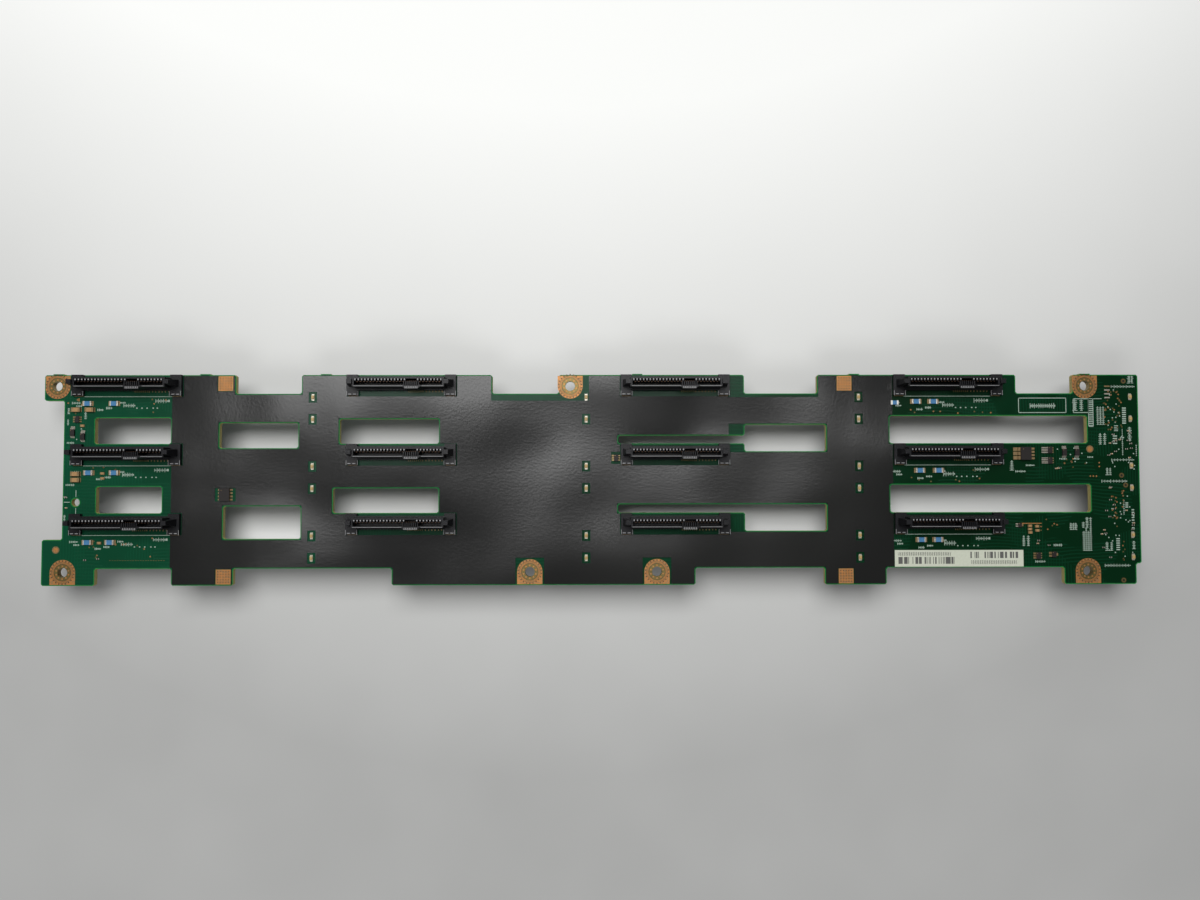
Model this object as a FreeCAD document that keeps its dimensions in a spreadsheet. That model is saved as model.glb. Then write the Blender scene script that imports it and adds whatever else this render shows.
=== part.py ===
import FreeCAD, Part
import math
import os
import re
import Sketcher

# A drive backplane board: a long circuit board with four columns and three rows of
# drive receptacles on its front, and its cable ports and power headers behind.
# It lies on the rear ports with the drive side up. Millimetres: X runs along the
# board, Y across it towards the top row of bays, and Z up from under the ports.

os.makedirs("parts", exist_ok=True)
doc = FreeCAD.newDocument("drive_backplane")

SIZES = {
    # Bare board
    "board_thickness": 2.36,
    "board_corner_cut": 0.6,
    "left_tab_reach": 7.8,
    "top_left_tab": 10.1,
    "bottom_left_tab": 17.9,
    "right_corner_step": 2.1,
    "right_corner_height": 8.1,
    # Grid of drive bays, which sets the board's length and width
    "first_column": 32.7,
    "column_pitch": 107.5,
    "last_column": 75.8,
    "row_pitch": 27.2,
    "last_row": 24.0,
    # Notches in the two long edges, measured from the middle of a column
    "bottom_notch_depth": 6.6,
    "bottom_notch_1_left": -12.0,
    "bottom_notch_1_right": 17.9,
    "bottom_notch_2_left": -65.5,
    "bottom_notch_2_right": -3.6,
    "bottom_notch_3_left": 7.8,
    "bottom_notch_3_right": 58.6,
    "bottom_notch_4_left": -24.7,
    "bottom_notch_4_right": 45.3,
    "top_notch_depth": 7.4,
    "top_notch_1_left": -65.2,
    "top_notch_1_right": -39.4,
    "top_notch_2_left": -72.0,
    "top_notch_2_right": -45.8,
    "top_notch_3_left": 27.3,
    "top_notch_3_right": 56.2,
    "top_notch_4_left": 27.3,
    "top_notch_4_right": 49.9,
    # Stubs where the board was snapped out of its production panel
    "stub_length": 4.0,
    "stub_reach": 0.4,
    "stub_1": -27.5,
    "stub_2": 30.1,
    "stub_3": -30.0,
    "stub_4": -14.8,
    "stub_5": -36.6,
    "stub_6": 54.9,
    # Mounting holes and the tooling hole
    "mount_hole_radius": 1.9,
    "top_hole_inset": 4.4,
    "bottom_hole_inset": 5.15,
    "top_left_hole": 5.0,
    "top_middle_hole": -41.3,
    "bottom_left_hole": 8.3,
    "bottom_pair_left": -57.1,
    "bottom_pair_spacing": 49.8,
    "right_hole_inset": 21.1,
    "tooling_hole_radius": 1.6,
    "tooling_hole_x": -19.85,
    "tooling_hole_y": 8.5,
    # Air vents, measured from the centre of a bay's column and row
    "vent_1_left": -12.8,
    "vent_1_right": 17.0,
    "vent_1_bottom": 4.2,
    "vent_1_top": 14.4,
    "vent_2_left": -11.9,
    "vent_2_right": 13.8,
    "vent_2_bottom": 4.2,
    "vent_2_top": 14.6,
    "vent_3_left": -71.5,
    "vent_3_right": -40.6,
    "vent_3_bottom": 2.5,
    "vent_3_top": 12.4,
    "vent_4_left": -69.7,
    "vent_4_right": -39.4,
    "vent_4_bottom": -5.9,
    "vent_4_top": 6.9,
    "vent_5_left": -24.4,
    "vent_5_right": 14.6,
    "vent_5_bottom": 4.2,
    "vent_5_top": 13.9,
    "vent_6_left": -26.8,
    "vent_6_right": 14.5,
    "vent_6_bottom": 4.2,
    "vent_6_top": 13.9,
    "vent_7_left": 27.4,
    "vent_7_right": 59.6,
    "vent_7_bottom": 1.1,
    "vent_7_top": 11.6,
    "vent_7_slot_left": -22.4,
    "vent_7_slot_bottom": 4.2,
    "vent_7_slot_top": 7.3,
    "vent_8_left": 27.4,
    "vent_8_right": 59.6,
    "vent_8_bottom": -3.0,
    "vent_8_top": 7.5,
    "vent_8_slot_left": -22.5,
    "vent_8_slot_bottom": 4.2,
    "vent_9_left": -22.8,
    "vent_9_right": 55.3,
    "vent_9_bottom": 4.2,
    "vent_9_top": 15.0,
    "vent_10_left": -22.8,
    "vent_10_right": 56.3,
    "vent_10_bottom": 4.2,
    "vent_10_top": 15.1,
    # Insulating film over the middle of the front face
    "film_thickness": 0.25,
    "film_inset": 0.4,
    "film_left": 17.4,
    "film_end_gap": 0.25,
    "film_strip_drop": 10.2,
    "film_strip_end": -33.9,
    "film_cut_margin": 0.3,
    "film_side_gap": 5.9,
    "film_notch_drop": 1.0,
    # Its openings round the lands, the lights and two chips
    "film_land_width": 11.2,
    "film_land_length": 10.7,
    "light_cut_length": 4.2,
    "light_cut_width": 3.2,
    "driver_cut_length": 8.1,
    "driver_cut_width": 5.2,
    "sensor_cut_length": 4.0,
    "sensor_cut_width": 4.8,
    # Copper lands under the mounting screws, and the bare square lands
    "land_thickness": 0.08,
    "land_radius": 4.95,
    "land_edge_gap": 0.4,
    "land_hole_gap": 0.35,
    "square_land": 5.8,
    "square_land_left": -69.3,
    "square_land_right": 66.9,
    # Barcode label, left blank, which starts level with the last column's receptacles
    "label_length": 50.6,
    "label_width": 6.5,
    "label_thickness": 0.12,
    "label_indent": 0.05,
    "label_base": 6.9,
    # Drive receptacle housing
    "base_end_reach": 3.65,
    "base_width": 8.2,
    "flange_length": 4.4,
    "flange_height": 1.9,
    "body_depth": 5.2,
    "body_offset": 0.5,
    "shroud_end_wall": 0.8,
    "shroud_depth": 3.8,
    "shroud_offset": 0.66,
    "shroud_height": 8.2,
    "bump_inner_length": 7.0,
    "bump_outer_length": 5.4,
    "bump_reach": 0.6,
    "post_length": 2.8,
    "post_depth": 2.8,
    "post_root": 0.1,
    "post_height": 9.4,
    "post_tip_length": 1.9,
    "post_tip_depth": 1.7,
    # Its slot for the drive's tongue, and its two kinds of contact
    "tongue_end_gap": 0.875,
    "tongue_gap": 1.5,
    "bridge_gap": 1.05,
    "lower_wall": 0.6,
    "cavity_floor": 2.4,
    "contact_pitch": 1.27,
    "contact_span": 31.75,
    "power_contacts": 15,
    "signal_contacts": 7,
    "contact_slot_depth": 0.95,
    "contact_width": 0.5,
    "contact_thickness": 0.2,
    "contact_crown": 0.25,
    "contact_top": 7.4,
    "segment_margin": 0.35,
    "fine_pitch": 0.8,
    "fine_recess_depth": 1.6,
    "fine_recess_margin": 0.2,
    "fine_contact_width": 0.3,
    # Status lights between the bays
    "light_inset": 35.0,
    "light_upper_drop": 4.7,
    "light_lower_drop": 13.4,
    "light_length": 2.0,
    "light_width": 1.25,
    "light_height": 0.8,
    # Chip fuses beside the first and last columns, two to a bay
    "fuse_length": 3.4,
    "fuse_width": 2.0,
    "fuse_height": 0.8,
    "left_fuse_drop": 7.1,
    "left_fuse_0_outer": 15.8,
    "left_fuse_0_inner": 5.4,
    "left_fuse_1_outer": 14.9,
    "left_fuse_1_inner": 4.9,
    "left_fuse_2_outer": 14.9,
    "left_fuse_2_inner": 6.1,
    "right_fuse_drop": 6.5,
    "right_fuse_0_outer": 12.3,
    "right_fuse_0_inner": 5.5,
    "right_fuse_1_outer": 11.1,
    "right_fuse_1_inner": 3.7,
    "right_fuse_2_outer": 10.9,
    "right_fuse_2_inner": 4.3,
    # Chip capacitors and logic chips, each placed from the centre of its bay, but for the
    # last one, which stands off the end of its receptacle
    "capacitor_chip_length": 3.4,
    "capacitor_chip_width": 1.8,
    "capacitor_chip_height": 1.2,
    "capacitor_chip_1_x": -20.1,
    "capacitor_chip_1_y": -9.55,
    "capacitor_chip_2_x": -14.8,
    "capacitor_chip_2_y": -9.55,
    "capacitor_chip_3_x": -19.9,
    "capacitor_chip_3_y": -7.55,
    "capacitor_chip_4_x": -19.85,
    "capacitor_chip_4_y": -9.9,
    "driver_chip_length": 4.1,
    "driver_chip_width": 5.1,
    "driver_chip_height": 1.5,
    "driver_chip_1_x": 30.55,
    "driver_chip_1_y": 0.1,
    "driver_chip_2_x": -68.85,
    "driver_chip_2_y": 11.45,
    "sensor_chip_length": 1.7,
    "sensor_chip_width": 2.6,
    "sensor_chip_height": 0.9,
    "sensor_chip_1_x": -19.6,
    "sensor_chip_1_y": -13.3,
    "sensor_chip_2_x": -21.4,
    "sensor_chip_2_y": 8.65,
    "sensor_chip_3_x": -17.4,
    "sensor_chip_3_y": 7.1,
    "sensor_chip_4_x": 40.3,
    "sensor_chip_4_y": 1.45,
    "sensor_chip_5_x": 46.0,
    "sensor_chip_5_y": 0.55,
    "sensor_chip_6_x": 51.0,
    "sensor_chip_6_y": 0.55,
    "sensor_chip_7_x": 34.95,
    "sensor_chip_7_y": -12.85,
    "sensor_chip_8_x": -1.75,
    "sensor_chip_8_y": -1.45,
    # Rear cable ports, which carry the board; all that is behind it is placed across
    # the board from the middle row of bays
    "port_length": 22.6,
    "port_width": 8.6,
    "port_height": 14.3,
    "port_wall": 0.4,
    "port_fit": 0.1,
    "port_foot_height": 4.0,
    "port_tongue_length": 19.0,
    "port_tongue_width": 4.4,
    "port_tongue_height": 12.4,
    "port_slot_length": 17.4,
    "port_slot_width": 1.2,
    "port_slot_depth": 6.5,
    "port_window_length": 3.0,
    "port_window_height": 1.6,
    "port_window_level": 3.2,
    "port_window_spread": 12.0,
    "low_port_rise": -18.0,
    "high_port_rise": 2.0,
    # Rear power headers, each cell taking one pin
    "power_pitch": 4.2,
    "power_wall": 0.8,
    "power_height": 12.8,
    "power_cell_depth": 10.2,
    "power_pin_width": 1.1,
    "power_pin_length": 8.6,
    "power_columns": 4,
    "power_rows": 2,
    "power_latch_width": 3.4,
    "power_latch_reach": 1.3,
    "power_latch_height": 3.0,
    "power_latch_level": 1.6,
    "power_spread": 34.0,
    "power_rise": -32.0,
    # Rear management header
    "header_pitch": 2.54,
    "header_rows": 5,
    "header_columns": 2,
    "header_length": 20.3,
    "header_width": 8.8,
    "header_height": 8.9,
    "header_wall": 1.1,
    "header_cavity_depth": 6.4,
    "header_key": 4.5,
    "header_pin_width": 0.64,
    "header_pin_length": 5.8,
    "header_offset": 17.0,
    "header_rise": 4.0,
    # Rear controller chip
    "controller_side": 10.0,
    "controller_height": 0.9,
    "controller_offset": 20.5,
    "controller_rise": 2.0,
}

COLUMNS = 4
ROWS = 3

sheet = doc.addObject("Spreadsheet::Sheet", "sizes")
for line, (alias, value) in enumerate(SIZES.items(), 1):
    sheet.set(f"A{line}", alias)
    sheet.set(f"B{line}", str(value))
    sheet.setAlias(f"B{line}", alias)
doc.recompute()


def number(text):
    """The value of an expression on the sheet's names."""
    return float(sheet.evalExpression(text))


A_SIZE = re.compile(rf"\b({'|'.join(sorted(SIZES, key=len, reverse=True))})\b")


def bind(thing, path, text):
    """Tie a property to an expression on the sheet's names."""
    thing.setExpression(path, A_SIZE.sub(r"sizes.\1", text))


def place(thing, x="0", y="0", z="0"):
    for axis, text in zip("xyz", (x, y, z)):
        bind(thing, f"Placement.Base.{axis}", text)


# Places that several pieces share.

TONGUE_END = "((contact_span + contact_width) / 2 + tongue_end_gap)"
SHROUD_END = f"({TONGUE_END} + shroud_end_wall)"
HALF_BASE = f"({SHROUD_END} + base_end_reach)"
BASE_LENGTH = f"(2 * {HALF_BASE})"
LENGTH = f"(first_column + {COLUMNS - 1} * column_pitch + last_column)"
WIDTH = f"(base_width / 2 + {ROWS - 1} * row_pitch + last_row)"
LEFT, RIGHT = f"(-{LENGTH} / 2)", f"({LENGTH} / 2)"
BOTTOM, TOP = f"(-{WIDTH} / 2)", f"({WIDTH} / 2)"
UNDERSIDE = "port_height"
FRONT = "(port_height + board_thickness)"


def column(index):
    return f"({LEFT} + first_column + {index} * column_pitch)"


def row(index):
    return f"({TOP} - base_width / 2 - {index} * row_pitch)"


def from_column(index, text):
    return f"({column(index)} + {text})"


def from_left(text):
    return f"({LEFT} + {text})"


def from_bottom(text):
    return f"({BOTTOM} + {text})"


BAYS = [(across, down) for down in range(ROWS) for across in range(COLUMNS)]


# Sketches: closed loops of straight lines, circles and arches, every point bound.

def origin_item(body, role):
    """One of a body's origin planes or axes."""
    return next(item for item in body.Origin.OriginFeatures if item.Role == role)


def new_sketch(body, name, level="0", role="XY_Plane"):
    """A sketch on one of a body's origin planes, raised from it by a level."""
    sketch = body.newObject("Sketcher::SketchObject", name)
    sketch.AttachmentSupport = [(origin_item(body, role), "")]
    sketch.MapMode = "FlatFace"
    bind(sketch, "AttachmentOffset.Base.z", level)
    return sketch


def pin_points(sketch, points):
    """Hold points of a sketch at expressions: (element, end, x, y) for each."""
    first = sketch.ConstraintCount
    texts = []
    rules = []
    for element, end, x, y in points:
        for kind, text in (("DistanceX", x), ("DistanceY", y)):
            rules.append(Sketcher.Constraint(kind, -1, 1, element, end, number(text)))
            texts.append(text)
    sketch.addConstraint(rules)
    for index, text in enumerate(texts, first):
        bind(sketch, f"Constraints[{index}]", text)


def hold(sketch, kind, *spots_and_text):
    """Add one dimension to a sketch: its kind, the spots it joins and its size."""
    *spots, text = spots_and_text
    index = sketch.addConstraint(Sketcher.Constraint(kind, *spots, number(text)))
    bind(sketch, f"Constraints[{index}]", text)


def add_loop(sketch, corners):
    """A closed loop of straight lines through corners given as expressions."""
    first = sketch.GeometryCount
    spots = [FreeCAD.Vector(number(x), number(y), 0) for x, y in corners]
    sides = zip(spots, spots[1:] + spots[:1])
    sketch.addGeometry([Part.LineSegment(start, end) for start, end in sides], False)
    count = len(corners)
    sketch.addConstraint([
        Sketcher.Constraint("Coincident", first + index, 2, first + (index + 1) % count, 1)
        for index in range(count)
    ])
    pin_points(sketch, [(first + index, 1, x, y) for index, (x, y) in enumerate(corners)])


def add_circle(sketch, x, y, radius):
    first = sketch.GeometryCount
    centre = FreeCAD.Vector(number(x), number(y), 0)
    sketch.addGeometry(Part.Circle(centre, FreeCAD.Vector(0, 0, 1), number(radius)), False)
    pin_points(sketch, [(first, 3, x, y)])
    hold(sketch, "Radius", first, radius)


def add_arch(sketch, x, y, radius, level):
    """A half circle about a point, with straight sides that run on to a level."""
    first = sketch.GeometryCount
    centre = FreeCAD.Vector(number(x), number(y), 0)
    reach, outer = number(radius), number(level)
    start, side = (math.pi, reach) if outer > centre.y else (0, -reach)
    circle = Part.Circle(centre, FreeCAD.Vector(0, 0, 1), reach)
    corners = [
        FreeCAD.Vector(centre.x + across, height, 0)
        for across, height in ((side, centre.y), (side, outer), (-side, outer), (-side, centre.y))
    ]
    sides = [Part.LineSegment(start, end) for start, end in zip(corners, corners[1:])]
    sketch.addGeometry([Part.ArcOfCircle(circle, start, start + math.pi), *sides], False)
    sketch.addConstraint([
        Sketcher.Constraint("Tangent", first, 2, first + 1, 1),
        Sketcher.Constraint("Coincident", first + 1, 2, first + 2, 1),
        Sketcher.Constraint("Coincident", first + 2, 2, first + 3, 1),
        Sketcher.Constraint("Tangent", first + 3, 2, first, 1),
        Sketcher.Constraint("Vertical", first + 1),
        Sketcher.Constraint("Horizontal", first + 2),
        Sketcher.Constraint("Vertical", first + 3),
    ])
    pin_points(sketch, [(first, 3, x, y)])
    hold(sketch, "Radius", first, radius)
    hold(sketch, "DistanceY", -1, 1, first + 2, 1, level)


def rectangle(x0, x1, y0, y1):
    return [(x0, y0), (x1, y0), (x1, y1), (x0, y1)]


def centred(x, y, length, width):
    return rectangle(
        f"({x} - {length} / 2)", f"({x} + {length} / 2)",
        f"({y} - {width} / 2)", f"({y} + {width} / 2)",
    )


# Features of a body.

def pad(body, name, loops, height, level="0"):
    sketch = new_sketch(body, f"{name}_sketch", level)
    for corners in loops:
        add_loop(sketch, corners)
    feature = body.newObject("PartDesign::Pad", name)
    feature.Profile = (sketch, [""])
    bind(feature, "Length", height)
    return feature


def pocket(body, name, loops, level, depth, circles=()):
    """Cut downwards from a level."""
    sketch = new_sketch(body, f"{name}_sketch", level)
    for corners in loops:
        add_loop(sketch, corners)
    for x, y, radius in circles:
        add_circle(sketch, x, y, radius)
    feature = body.newObject("PartDesign::Pocket", name)
    feature.Profile = (sketch, [""])
    bind(feature, "Length", depth)
    return feature


def repeat_along_x(body, name, feature, count, pitch):
    pattern = body.newObject("PartDesign::LinearPattern", name)
    pattern.Originals = [feature]
    pattern.Direction = (origin_item(body, "X_Axis"), [""])
    bind(pattern, "Length", f"({count} - 1) * {pitch}")
    bind(pattern, "Occurrences", count)
    body.Tip = pattern


# Primitives and booleans.

def block(name, x0, x1, y0, y1, z0, z1):
    """A box between two corners."""
    box = doc.addObject("Part::Box", name)
    for path, low, high in (("Length", x0, x1), ("Width", y0, y1), ("Height", z0, z1)):
        bind(box, path, f"{high} - {low}")
    place(box, x0, y0, z0)
    return box


def middle_block(name, length, width, z0, z1, x="0", y="0"):
    """A box centred on a point of the plan."""
    (x0, y0), _, (x1, y1), _ = centred(x, y, length, width)
    return block(name, x0, x1, y0, y1, z0, z1)


def cut(name, base, *tools):
    tool = tools[0]
    if len(tools) > 1:
        tool = doc.addObject("Part::MultiFuse", f"{name}_tools")
        tool.Shapes = tools
    result = doc.addObject("Part::Cut", name)
    result.Base = base
    result.Tool = tool
    return result


def group_of(name, members):
    group = doc.addObject("Part::Compound", name)
    group.Links = members
    return group


def copy_of(original, name):
    """Another of the same piece, placed by itself."""
    twin = doc.addObject("App::Link", name)
    twin.LinkedObject = original
    return twin


sub_parts = []


def keep(thing, name):
    """Name a finished piece of the product."""
    thing.Label = name
    sub_parts.append(thing)
    return thing


# Circuit board: one milled sheet, with notched edges, air vents and screw holes.

def vent(index, across, down):
    """The edges of a vent beside a bay: left, right, bottom and top."""
    name = f"vent_{index}"
    return (
        f"({column(across)} + {name}_left)", f"({column(across)} + {name}_right)",
        f"({row(down)} + {name}_bottom)", f"({row(down)} + {name}_top)",
    )


VENT_BAYS = {1: (0, 1), 2: (0, 2), 3: (1, 1), 4: (1, 2), 5: (1, 1), 6: (1, 2), 9: (3, 1), 10: (3, 2)}
PLAIN_VENTS = {index: vent(index, *bay) for index, bay in VENT_BAYS.items()}


def grown(edges, by):
    x0, x1, y0, y1 = edges
    return rectangle(f"({x0} - {by})", f"({x1} + {by})", f"({y0} - {by})", f"({y1} + {by})")


def vent_7(grow="0", widen="0"):
    """A wide vent with a slot that runs out of the middle of its left side."""
    x0, x1, y0, y1 = vent(7, 2, 1)
    slot_x = f"({column(2)} + vent_7_slot_left - {grow})"
    slot_y0 = f"({row(1)} + vent_7_slot_bottom - {grow})"
    slot_y1 = f"({row(1)} + vent_7_slot_top + {grow})"
    left, right = f"({x0} - {grow} - {widen})", f"({x1} + {grow})"
    bottom, top = f"({y0} - {grow})", f"({y1} + {grow})"
    return [
        (slot_x, slot_y0), (left, slot_y0), (left, bottom), (right, bottom),
        (right, top), (left, top), (left, slot_y1), (slot_x, slot_y1),
    ]


def vent_8(grow="0", widen="0"):
    """A wide vent with a slot along the top of its left side."""
    x0, x1, y0, y1 = vent(8, 2, 2)
    slot_x = f"({column(2)} + vent_8_slot_left - {grow})"
    slot_y = f"({row(2)} + vent_8_slot_bottom - {grow})"
    left, right = f"({x0} - {grow} - {widen})", f"({x1} + {grow})"
    bottom, top = f"({y0} - {grow})", f"({y1} + {grow})"
    return [
        (slot_x, slot_y), (left, slot_y), (left, bottom), (right, bottom), (right, top),
        (slot_x, top),
    ]


def notch(edge, inward, name, across, depth, grow="0", widen="0", deepen="0"):
    """The four corners of a notch in a long edge, from its left to its right."""
    left = from_column(across, f"{name}_left - {grow} - {widen}")
    right = from_column(across, f"{name}_right + {grow}")
    mouth = f"({edge} {inward} {grow})"
    floor = f"({edge} {inward} {depth} {inward} {grow} {inward} {deepen})"
    return [(left, mouth), (left, floor), (right, floor), (right, mouth)]


BOTTOM_NOTCH_COLUMNS = {1: 0, 2: 1, 3: 2, 4: 3}
TOP_NOTCH_COLUMNS = {1: 1, 2: 2, 3: 2, 4: 3}


def bottom_notch(index, **film):
    across = BOTTOM_NOTCH_COLUMNS[index]
    return notch(BOTTOM, "+", f"bottom_notch_{index}", across, "bottom_notch_depth", **film)


def top_notch(index, **film):
    """Listed from right to left, as an outline meets it."""
    across = TOP_NOTCH_COLUMNS[index]
    return notch(TOP, "-", f"top_notch_{index}", across, "top_notch_depth", **film)[::-1]


board_outline = [
    (LEFT, BOTTOM),
    *bottom_notch(1), *bottom_notch(2), *bottom_notch(3), *bottom_notch(4),
    (f"({RIGHT} - right_corner_step)", BOTTOM),
    (f"({RIGHT} - right_corner_step)", from_bottom("right_corner_height")),
    (RIGHT, from_bottom("right_corner_height")),
    (RIGHT, TOP),
    *top_notch(4), *top_notch(3), *top_notch(2), *top_notch(1),
    (LEFT, TOP),
    (LEFT, f"({TOP} - top_left_tab)"),
    (from_left("left_tab_reach"), f"({TOP} - top_left_tab)"),
    (from_left("left_tab_reach"), from_bottom("bottom_left_tab")),
    (LEFT, from_bottom("bottom_left_tab")),
]

TOP_HOLES = f"({TOP} - top_hole_inset)"
BOTTOM_HOLES = from_bottom("bottom_hole_inset")
RIGHT_HOLES = f"({RIGHT} - right_hole_inset)"
TOP_MOUNTS = [from_left("top_left_hole"), from_column(2, "top_middle_hole"), RIGHT_HOLES]
BOTTOM_PAIR = [
    from_column(2, "bottom_pair_left"), from_column(2, "bottom_pair_left + bottom_pair_spacing"),
]
BOTTOM_MOUNTS = [from_left("bottom_left_hole"), *BOTTOM_PAIR, RIGHT_HOLES]
STUB_COLUMNS = [0, 0, 1, 2, 3, 3]
STUBS = [from_column(across, f"stub_{index}") for index, across in enumerate(STUB_COLUMNS, 1)]


def upright_edges(shape):
    """Names of the edges that run straight up."""
    names = []
    for index, edge in enumerate(shape.Edges, 1):
        if isinstance(edge.Curve, Part.Line) and abs(edge.Curve.Direction.z) > 0.99:
            names.append(f"Edge{index}")
    return names


def circuit_board():
    body = doc.addObject("PartDesign::Body", "circuit_board")
    through = ("board_thickness", "2 * board_thickness")
    place(body, z=UNDERSIDE)
    pad(body, "sheet", [board_outline], "board_thickness")
    vents = [grown(edges, "0") for edges in PLAIN_VENTS.values()]
    routed = pocket(body, "vents", vents + [vent_7(), vent_8()], *through)
    doc.recompute()
    eased = body.newObject("PartDesign::Chamfer", "routed_corners")
    eased.Base = (routed, upright_edges(routed.Shape))
    bind(eased, "Size", "min(board_corner_cut; 0.45 * right_corner_step)")
    stubs = [centred(x, TOP, "stub_length", "2 * stub_reach") for x in STUBS]
    pad(body, "panel_stubs", stubs, "board_thickness")
    holes = [(x, TOP_HOLES, "mount_hole_radius") for x in TOP_MOUNTS]
    holes += [(x, BOTTOM_HOLES, "mount_hole_radius") for x in BOTTOM_MOUNTS]
    tooling = (from_column(0, "tooling_hole_x"), f"({row(2)} + tooling_hole_y)")
    holes += [(*tooling, "tooling_hole_radius")]
    pocket(body, "holes", [], *through, holes)
    return body


keep(circuit_board(), "circuit_board")


# Copper lands: one under each mounting screw, open round its hole, and four square ones.

def eight_sided(x, y, radius):
    """Eight corners whose flats clear a circle."""
    near, far = f"({radius} * tan(22.5 deg))", radius
    steps = [
        (far, near), (near, far), (f"-{near}", far), (f"-{far}", near),
        (f"-{far}", f"-{near}"), (f"-{near}", f"-{far}"), (near, f"-{far}"), (far, f"-{near}"),
    ]
    return [(f"({x} + ({across}))", f"({y} + ({up}))") for across, up in steps]


def screw_land(name, x, y, edge):
    """An arch that runs out to the board's edge, kept clear of its left end."""
    sketch = doc.addObject("Sketcher::SketchObject", f"{name}_sketch")
    x_land = f"max({x}; {LEFT} + land_edge_gap + land_radius)"
    add_arch(sketch, x_land, y, "land_radius", edge)
    add_loop(sketch, eight_sided(x, y, "(mount_hole_radius + land_hole_gap)"))
    land = doc.addObject("Part::Extrusion", name)
    land.Base = sketch
    land.DirMode = "Custom"
    land.Dir = FreeCAD.Vector(0, 0, 1)
    land.Solid = True
    bind(land, "LengthFwd", "land_thickness")
    place(land, z=FRONT)
    return land


def ground_lands():
    spots = [(x, TOP_HOLES, f"({TOP} - land_edge_gap)") for x in TOP_MOUNTS]
    spots += [(x, BOTTOM_HOLES, f"({BOTTOM} + land_edge_gap)") for x in BOTTOM_MOUNTS]
    lands = [screw_land(f"screw_land_{index}", *spot) for index, spot in enumerate(spots, 1)]
    top = f"({FRONT} + land_thickness)"
    lands += [
        middle_block(f"square_land_{index}", "square_land", "square_land", FRONT, top, x, y)
        for index, (x, y) in enumerate(SQUARE_LANDS, 1)
    ]
    return group_of("ground_lands", lands)


SQUARE_LANDS = [
    (x, f"({edge} {inward} (land_edge_gap + square_land / 2))")
    for x in (from_column(1, "square_land_left"), from_column(2, "square_land_right"))
    for edge, inward in ((BOTTOM, "+"), (TOP, "-"))
]
keep(ground_lands(), "ground_lands")


# Small parts on the front: status lights, chip fuses, chip capacitors and logic chips.

def on_front(name, spots, length, width, height):
    """Blocks of one size soldered to the front, as one group."""
    top = f"({FRONT} + {height})"
    return keep(group_of(name, [
        middle_block(f"{name}_block_{index}", length, width, FRONT, top, x, y)
        for index, (x, y) in enumerate(spots, 1)
    ]), name)


def beside_bays(name, bays):
    """Places that the sheet gives one by one, each from the centre of a bay."""
    return [
        (f"({column(across)} + {name}_{index}_x)", f"({row(down)} + {name}_{index}_y)")
        for index, (across, down) in enumerate(bays, 1)
    ]


def light_spots(columns=COLUMNS):
    """Centres of the status lights, two beside each bay, set back from the next column."""
    return [
        (f"({column(across + 1)} - light_inset)", f"({row(down)} - {drop})")
        for across, down in BAYS if across < columns
        for drop in ("light_upper_drop", "light_lower_drop")
    ]


def fuse_spots():
    """Centres of the chip fuses, two beside each bay of the first and last columns."""
    return [
        (f"({column(across)} - {side}_fuse_{down}_{end})", f"({row(down)} - {side}_fuse_drop)")
        for side, across in (("left", 0), ("right", COLUMNS - 1))
        for down in range(ROWS)
        for end in ("outer", "inner")
    ]


def board_label():
    """A blank self-adhesive label."""
    x, y = from_column(3, f"label_indent - {HALF_BASE}"), from_bottom("label_base")
    return block(
        "board_label", x, f"({x} + label_length)", y, f"({y} + label_width)",
        FRONT, f"({FRONT} + label_thickness)",
    )


CAPACITOR_CHIPS = beside_bays("capacitor_chip", [(0, 0), (0, 0), (0, 1), (0, 1)])
DRIVER_CHIPS = beside_bays("driver_chip", [(3, 1), (1, 2)])
SENSOR_CHIPS = beside_bays("sensor_chip", [
    (0, 0), (0, 1), (0, 1), (3, 1), (3, 1), (3, 1), (3, 2),
])
SENSOR_CHIPS.append(
    (from_column(2, f"sensor_chip_8_x - {HALF_BASE}"), f"({row(1)} + sensor_chip_8_y)")
)
on_front("status_lights", light_spots(), "light_width", "light_length", "light_height")
on_front("chip_fuses", fuse_spots(), "fuse_length", "fuse_width", "fuse_height")
on_front(
    "chip_capacitors", CAPACITOR_CHIPS,
    "capacitor_chip_length", "capacitor_chip_width", "capacitor_chip_height",
)
on_front("driver_chips", DRIVER_CHIPS, "driver_chip_length", "driver_chip_width", "driver_chip_height")
on_front("sensor_chips", SENSOR_CHIPS, "sensor_chip_length", "sensor_chip_width", "sensor_chip_height")
keep(board_label(), "board_label")


# Insulating film: a die-cut sheet on the middle of the front, open at every part.

def film_outline():
    inset = {"grow": "film_inset"}
    side = {"grow": "film_inset", "widen": "film_side_gap", "deepen": "film_notch_drop"}
    bottom, top = f"({BOTTOM} + film_inset)", f"({TOP} - film_inset)"
    shelf = f"({BOTTOM} + bottom_notch_depth + film_inset)"
    lower_left = bottom_notch(1, **inset)[3][0]
    lower_right = bottom_notch(4, **inset)[0][0]
    left = from_column(0, "film_left")
    right = from_column(3, f"(-{HALF_BASE}) - film_end_gap")
    strip_left = top_notch(2, **inset)[3][0]
    strip_right = from_column(2, "film_strip_end")
    strip = f"({TOP} - film_strip_drop)"
    return [
        (lower_left, bottom), *bottom_notch(2, **inset), *bottom_notch(3, **inset),
        (lower_right, bottom), (lower_right, shelf), (right, shelf), (right, top),
        *top_notch(3, **side), (strip_right, top), (strip_right, strip), (strip_left, strip),
        (strip_left, top), *top_notch(1, **inset), (left, top), (left, shelf), (lower_left, shelf),
    ]


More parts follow.
